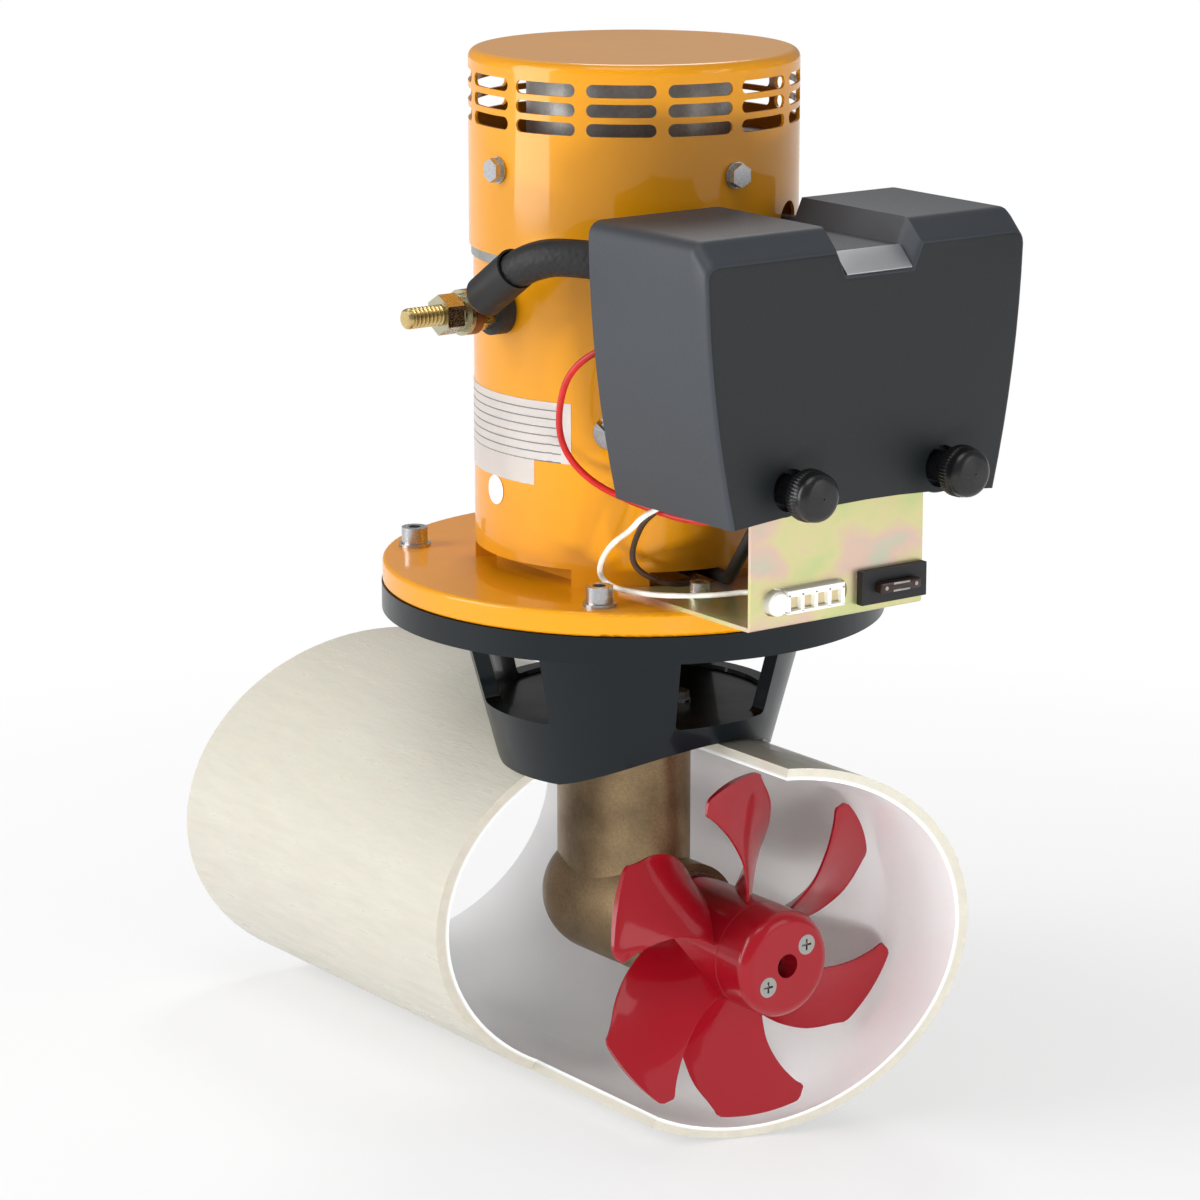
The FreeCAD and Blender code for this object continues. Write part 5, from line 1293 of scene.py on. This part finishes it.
@dataclass
class BoxShell:
    """The box's moulded cover, with soft edges, and the plate in its channel."""

    rear: float = 88
    low: float = 234
    high: float = 365.5
    half_top: float = 94
    half_foot: float = 78
    bulge: float = 4
    arch: float = 5
    slope: float = 11
    corner: float = 7
    edge: float = 2.5
    wall: float = 3
    channel_middle: float = 6
    channel_foot: float = 19.5
    channel_head: float = 25
    channel_deep: float = 12
    well: float = 10
    well_deep: float = 6
    bore: float = 4.6
    side_steps: int = 8
    corner_steps: int = 5
    ring_steps: int = 40

    def half(self, height: float) -> float:
        """Half the box's width at a height.

        Args:
            height: the height, in millimetres.

        Returns:
            The half width.
        """
        part = (height - self.low) / (self.high - self.low)
        straight = self.half_foot + (self.half_top - self.half_foot) * part
        return straight + self.bulge * 4 * part * (1 - part)

    def outline(self, drop: float, inset: float) -> list[Pair]:
        """The open outline over the box's top, from its right foot to its left foot.

        Args:
            drop: how far the top lies below its highest place.
            inset: how far the whole outline lies inside the box's skin.

        Returns:
            (across, height) pairs about the box's middle.
        """
        top = self.high - drop
        shoulder, floor = top - self.corner, top - self.channel_deep
        heights = [self.low + (shoulder - self.low) * i / self.side_steps
                   for i in range(self.side_steps + 1)]
        right = [(self.half(height), height) for height in heights]
        centre = right[-1][0] - self.corner
        for i in range(1, self.corner_steps + 1):
            turn = math.radians(90 * i / self.corner_steps)
            right.append((centre + self.corner * math.cos(turn),
                          shoulder + self.corner * math.sin(turn)))
        notch = [(self.channel_middle + self.channel_head, top),
                 (self.channel_middle + self.channel_foot, floor),
                 (self.channel_middle - self.channel_foot, floor),
                 (self.channel_middle - self.channel_head, top)]
        points = right + notch + [(-across, height) for across, height in reversed(right)]
        return self.inward(points, inset) if inset else points

    def inward(self, points: list[Pair], inset: float) -> list[Pair]:
        """An open outline moved to its left, with mitred corners.

        Args:
            points: the outline.
            inset: how far it moves.

        Returns:
            The moved outline.
        """
        sides = []
        for (y0, z0), (y1, z1) in zip(points, points[1:]):
            long = math.hypot(y1 - y0, z1 - z0)
            sides.append(((z0 - z1) / long, (y1 - y0) / long))
        moved = []
        for i, (across, height) in enumerate(points):
            before, after = sides[max(i - 1, 0)], sides[min(i, len(sides) - 1)]
            share = inset / (1 + before[0] * after[0] + before[1] * after[1])
            moved.append((across + (before[0] + after[0]) * share,
                          height + (before[1] + after[1]) * share))
        return moved

    def stations(self) -> list[tuple[float, float, float]]:
        """Places along the box: (ahead, drop, inset) of each ring of the skin.

        Returns:
            The rings' places, from the rear to the front.
        """
        bend = BOX_FRONT - self.slope
        rows = [(self.rear, 0.0, 0.0), (bend - 2, 0.0, 0.0), (bend - 0.7, 0.15, 0.0),
                (bend + 0.7, 1.0, 0.0), (bend + 2, 2.1, 0.0)]
        for i in range(5):
            turn = math.radians(22.5 * i)
            rows.append((BOX_FRONT - self.edge * (1 - math.sin(turn)),
                         self.slope - self.edge * (1 - 0.5 * math.sin(turn)),
                         self.edge * (1 - math.cos(turn))))
        return rows

    def ring(self, mesh: Mesh, ahead: float, across: float,
             radius: float) -> list[bmesh.types.BMVert]:
        """A ring of vertices round a knob's axis.

        Args:
            mesh: the mesh that gets them.
            ahead: the ring's place along the box.
            across: how far the axis lies from the box's middle.
            radius: the ring's radius.

        Returns:
            The vertices, in order.
        """
        turns = (2 * math.pi * i / self.ring_steps for i in range(self.ring_steps))
        return [mesh.verts.new(metres(ahead, BOX_MIDDLE + across + radius * math.cos(turn),
                                      KNOB_HEIGHT + radius * math.sin(turn)))
                for turn in turns]

    def shell(self) -> Mesh:
        """The moulded cover, open behind and below, with a well for each knob.

        Returns:
            The cover's mesh.
        """
        mesh = bmesh.new()
        rings = [[mesh.verts.new(metres(ahead, BOX_MIDDLE + across, height))
                  for across, height in self.outline(drop, inset)]
                 for ahead, drop, inset in self.stations()]
        for near, far in zip(rings, rings[1:]):
            for corners in zip(near, near[1:], far[1:], far):
                mesh.faces.new(corners)
        reach = rings[-1][0].co.y / MM - BOX_MIDDLE
        foot = [mesh.verts.new(metres(BOX_FRONT, BOX_MIDDLE + reach * part,
                                      self.low + self.arch * (1 - part * part)))
                for part in (-0.75, -0.5, -0.25, 0, 0.25, 0.5, 0.75)]
        loop = rings[-1] + foot
        border = [mesh.edges.get(pair) or mesh.edges.new(pair)
                  for pair in zip(loop, loop[1:] + loop[:1])]
        for side in (-0.5, 0.5):
            border += self.sink_well(mesh, side * KNOB_SPACING)
        bmesh.ops.triangle_fill(mesh, use_beauty=True, edges=border, normal=(1, 0, 0))
        top = max(outward(mesh).faces, key=lambda face: face.calc_center_median().z)
        if top.normal.z < 0:
            bmesh.ops.reverse_faces(mesh, faces=mesh.faces)
        return thickened(mesh, self.wall)

    def sink_well(self, mesh: Mesh, across: float) -> list[bmesh.types.BMEdge]:
        """Make the round well behind a knob.

        Args:
            mesh: the cover's mesh.
            across: how far the knob stands from the box's middle.

        Returns:
            The edges of the well's mouth.
        """
        floor = BOX_FRONT - self.well_deep
        mouth = self.ring(mesh, BOX_FRONT, across, self.well)
        deep = self.ring(mesh, floor, across, self.well)
        hole = self.ring(mesh, floor, across, self.bore)
        for near, far in ((mouth, deep), (deep, hole)):
            for i in range(self.ring_steps):
                mesh.faces.new((near[i - 1], near[i], far[i], far[i - 1]))
        return [mesh.edges.get((mouth[i - 1], mouth[i])) for i in range(self.ring_steps)]

    def plate(self) -> Mesh:
        """The silver plate that lies on the channel's slope.

        Returns:
            The plate's mesh.
        """
        mesh = bmesh.new()
        bend, floor = BOX_FRONT - self.slope, self.high - self.channel_deep
        middle, wide = BOX_MIDDLE + self.channel_middle, self.channel_foot - 0.2
        start, end, under, over = 0.6, self.slope - 1, 0.1, 1.2
        rows = []
        for along, lift in ((start, under), (end, under), (end, over), (start, over)):
            rise = lift * 0.7
            rows.append([mesh.verts.new(metres(bend + along + rise, middle + side * wide,
                                               floor - along + rise + 0.3))
                         for side in (-1, 1)])
        for i in range(4):
            mesh.faces.new((*rows[i - 1], rows[i][1], rows[i][0]))
        for side in (0, 1):
            mesh.faces.new([row[side] for row in rows])
        return rounded(outward(mesh), mesh.edges, 0.3)

    def build(self, shop: Workshop) -> None:
        """Build the cover and its plate."""
        shop.add("box_shell", self.shell(), BOX_GREY, ["box_cover"], "box_cover", smooth=30)
        shop.add("channel_plate", self.plate(), SILVER_FOIL, ["cover_insert"], "cover_insert")


# ---- cables and wires -----------------------------------------------------------------

class Stiffness(Enum):
    """How far a cable gives."""

    STIFF = "stiff"
    MEDIUM = "medium"
    LIMP = "limp"


@dataclass(frozen=True)
class Route:
    """One cable or wire: its route in millimetres, and its build."""

    name: str
    node: str
    diameter: float
    points: tuple[Point, ...]
    finish: Finish
    stiffness: Stiffness = Stiffness.MEDIUM


@dataclass
class Wiring:
    """The motor cable, the cables into the box and the thin wires."""

    routes: tuple[Route, ...] = (
        Route("motor_cable_sheath", "motor_cable", 18, (
            (28.1, -98, 330.2), (50.3, -98, 344.7), (78, -82, 346), (103, -61, 340),
            (122, -44, 331)), WOVEN_BLACK, Stiffness.STIFF),
        Route("brush_cable_sheath", "brush_cable", 11, (
            (45.9, 27.6, 349), (60, 36.1, 349), (75, 45, 348.5), (90, 50, 347),
            (106, 53.4, 340)), CABLE_BLACK, Stiffness.STIFF),
        Route("field_cable_sheath", "field_cable", 6.4, (
            (136, -20, 262), (136, -20, 246), (132, -23, 228), (122, -26, 210),
            (108, -22, 196), (92, -12, 187), (76, -6, 186), (58.05, -6, 186)), CABLE_BLACK),
        Route("red_wire_sheath", "red_wire", 3.2, (
            (104, -58, 300), (86, -74, 308), (66, -86, 294), (58.6, -88, 272.6),
            (60.5, -87, 254), (69, -76, 238), (87, -62, 229), (119, -58, 226.3),
            (140, -48, 228), (142, -36, 244), (142, -36, 262)), WIRE_RED),
        Route("brown_wire_sheath", "brown_wire", 2.8, (
            (120, -30, 262), (120, -30, 249), (108, -43, 238), (92, -60, 225),
            (82, -60, 212), (78.5, -60, 200.6), (84, -57, 194), (90, -47, 189.5),
            (88, -34, 187), (80, -22, 185.8), (70, -16, 185.8), (58.05, -16, 185.8)),
            WIRE_BROWN, Stiffness.LIMP),
        Route("white_wire_sheath", "white_wires", 2.6, (
            (147, -34, 193.5), (138, -34, 193.5), (122, -44, 189.5), (101, -59, 187.5),
            (88, -63, 187), (73, -65, 186.3), (66.3, -70, 192), (68.9, -70, 201),
            (78, -70, 210.5), (91, -70, 218), (100, -68, 228), (118, -45, 241),
            (128, -32, 249), (128, -32, 262)), WIRE_WHITE, Stiffness.LIMP),
    )
    lugs: tuple[tuple[Point, Point, float], ...] = (
        ((119.9, -45.9, 332), (128.3, -38.3, 328), 6.5),
        ((127, -39.5, 328.5), (134, -33, 326.6), 3),
        ((137, -30, 325.3), (137, -30, 327.8), 8.5),
        ((104.2, 53, 340.8), (115, 55.3, 336.1), 4.6),
        ((114, 55.1, 336.5), (134, 37, 326.8), 2.4),
        ((137, 34, 325.3), (137, 34, 327.8), 8.5),
        ((104, -58, 300), (117, -43, 299), 1.9))

    def lay(self, shop: Workshop, route: Route) -> None:
        """Lay one cable as a round NURBS curve through its route.

        Args:
            shop: the workshop.
            route: the cable.
        """
        curve = bpy.data.curves.new(route.name, "CURVE")
        curve.dimensions = "3D"
        curve.bevel_depth = route.diameter / 2 * MM
        curve.bevel_resolution = 5
        curve.use_fill_caps = True
        curve.resolution_u = 16
        spline = curve.splines.new("NURBS")
        spline.points.add(len(route.points) - 1)
        for point, place in zip(spline.points, route.points):
            point.co = (*metres(*place), 1.0)
        spline.order_u = 3
        spline.use_endpoint_u = True
        piece = shown(route.name, curve)
        shop.coat(piece, route.finish)
        shop.carry(piece, route.node, [route.node])
        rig.cord(piece, exit=metres(*route.points[0]), length=self.length(piece),
                diameter=route.diameter * MM, far_end="object",
                stiffness=route.stiffness.value, lay="loose")

    def length(self, piece: bpy.types.Object) -> float:
        """The length of a cable's middle line.

        Args:
            piece: the cable.

        Returns:
            The length in metres.
        """
        line = piece.data.copy()
        line.bevel_depth = 0
        bare = bpy.data.objects.new("bare", line)
        mesh = bpy.data.meshes.new_from_object(bare)
        ends = ([mesh.vertices[i].co for i in edge.vertices] for edge in mesh.edges)
        total = sum((start - end).length for start, end in ends)
        bpy.data.objects.remove(bare)
        return total

    def build(self, shop: Workshop) -> None:
        """Lay every route, add the lugs inside the box and dress the sleeve.

        Args:
            shop: the workshop that holds the frame.
        """
        for route in self.routes:
            self.lay(shop, route)
        shop.add("cable_end_lugs", joined([rod(*lug) for lug in self.lugs]), TINNED, [],
                 "solenoid_terminals", smooth=30)
        shop.dress({"heat_shrink": CABLE_BLACK})


# ---- studio ---------------------------------------------------------------------------

@dataclass(frozen=True)
class Lamp:
    """A rectangular softbox in metres and watts, which gloss can be kept from showing."""

    name: str
    place: Point
    aim: Point
    size: Pair
    power: float
    glossy: bool = True

    def hang(self) -> None:
        """Put the lamp in the scene."""
        data = bpy.data.lights.new(self.name, "AREA")
        data.shape = "RECTANGLE"
        data.size, data.size_y = self.size
        data.energy = self.power
        holder = shown(self.name, data)
        holder.location = self.place
        holder.visible_glossy = self.glossy
        holder.rotation_euler = looking(Vector(self.aim) - Vector(self.place))


@dataclass
class Studio:
    """Pale floor, soft lamps, world and camera, all in metres."""

    eye: Point = (1.6279, -1.2162, 0.656)
    towards: Point = (-0.7826, 0.5749, -0.2385)
    lens: float = 126.5
    floor: float = -0.0988
    floor_half: float = 9
    near: float = 0.3
    far: float = 0.9
    near_glow: float = 0.55
    grey_light: float = 0.3
    lamps: tuple[Lamp, ...] = (
        Lamp("key", (-0.68, -1.74, 0.8), (0, 0, 0.2), (1.15, 1.6), 30),
        Lamp("fill", (2.0, 0.9, 0.8), (0, 0, 0.2), (0.9, 1.2), 6),
        Lamp("low", (1.0, -0.35, -0.04), (0.05, 0.03, -0.04), (0.3, 0.1), 7, False),
        Lamp("top", (0.4, -0.5, 2.2), (0, 0, 0.1), (1.2, 1.2), 11),
        Lamp("back", (-1.1, 1.0, 1.9), (0, 0, 0.2), (0.8, 0.8), 12))

    def camera(self) -> None:
        """Set the camera at the product view."""
        data = bpy.data.cameras.new("camera")
        data.lens = self.lens
        data.sensor_width = 36
        data.clip_start, data.clip_end = 0.05, 20
        holder = shown("camera", data)
        holder.location = self.eye
        holder.rotation_euler = looking(Vector(self.towards))
        bpy.context.scene.camera = holder

    def pale_ground(self) -> None:
        """A wide pale floor that keeps the shadow and meets the white surroundings."""
        mesh = bmesh.new()
        bmesh.ops.create_grid(mesh, x_segments=1, y_segments=1, size=self.floor_half)
        bmesh.ops.translate(mesh, verts=mesh.verts, vec=(0, 0, self.floor))
        ground = shown("floor", settled("floor", mesh))
        shader = Shader("floor_pale")
        shader.put("Base Color", srgb(246, 246, 247))
        shader.put("Roughness", 0.9)
        shader.put("Specular IOR Level", 0.1)
        glow = shader.node("Emission", {"Color": (1, 1, 1)}).outputs["Emission"]
        seen = shader.node("LightPath").outputs
        visible = shader.math("MAXIMUM", seen["Is Camera Ray"], seen["Is Glossy Ray"])
        along, across, _ = shader.split()
        far = shader.stretch(shader.reach(along, across), self.near, self.far, self.near_glow)
        both = shader.node("MixShader", {0: shader.math("MULTIPLY", visible, far),
                                         1: shader.base.outputs["BSDF"], 2: glow})
        shader.feed(shader.tree.nodes["Material Output"].inputs["Surface"],
                    both.outputs["Shader"])
        ground.data.materials.append(shader.material)
        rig.stage(ground)

    def surroundings(self) -> None:
        """White for what the camera sees, and soft grey light for the rest."""
        world = bpy.data.worlds.new("studio")
        world.use_nodes = True
        bpy.context.scene.world = world
        tree = world.node_tree
        background = tree.nodes["Background"]
        background.inputs["Color"].default_value = (1, 1, 1, 1)
        seen = tree.nodes.new("ShaderNodeLightPath").outputs
        level = tree.nodes.new("ShaderNodeMapRange")
        level.inputs["To Min"].default_value = self.grey_light
        tree.links.new(seen["Is Camera Ray"], level.inputs["Value"])
        tree.links.new(level.outputs["Result"], background.inputs["Strength"])

    def build(self) -> None:
        """Set up the whole studio."""
        bpy.context.scene.view_settings.view_transform = "Standard"
        self.surroundings()
        self.pale_ground()
        for lamp in self.lamps:
            lamp.hang()
        self.camera()


def main() -> None:
    """Build the dressed thruster and its studio."""
    logging.basicConfig(level=logging.INFO)
    shop = Workshop()
    Studio().build()
    for assembly in (Mounting, Motor, Terminal, Leg, Propeller, ControlBox, BoxShell, Wiring):
        assembly().build(shop)
    shop.write_sizes("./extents.json")


if __name__ == "__main__":
    main()
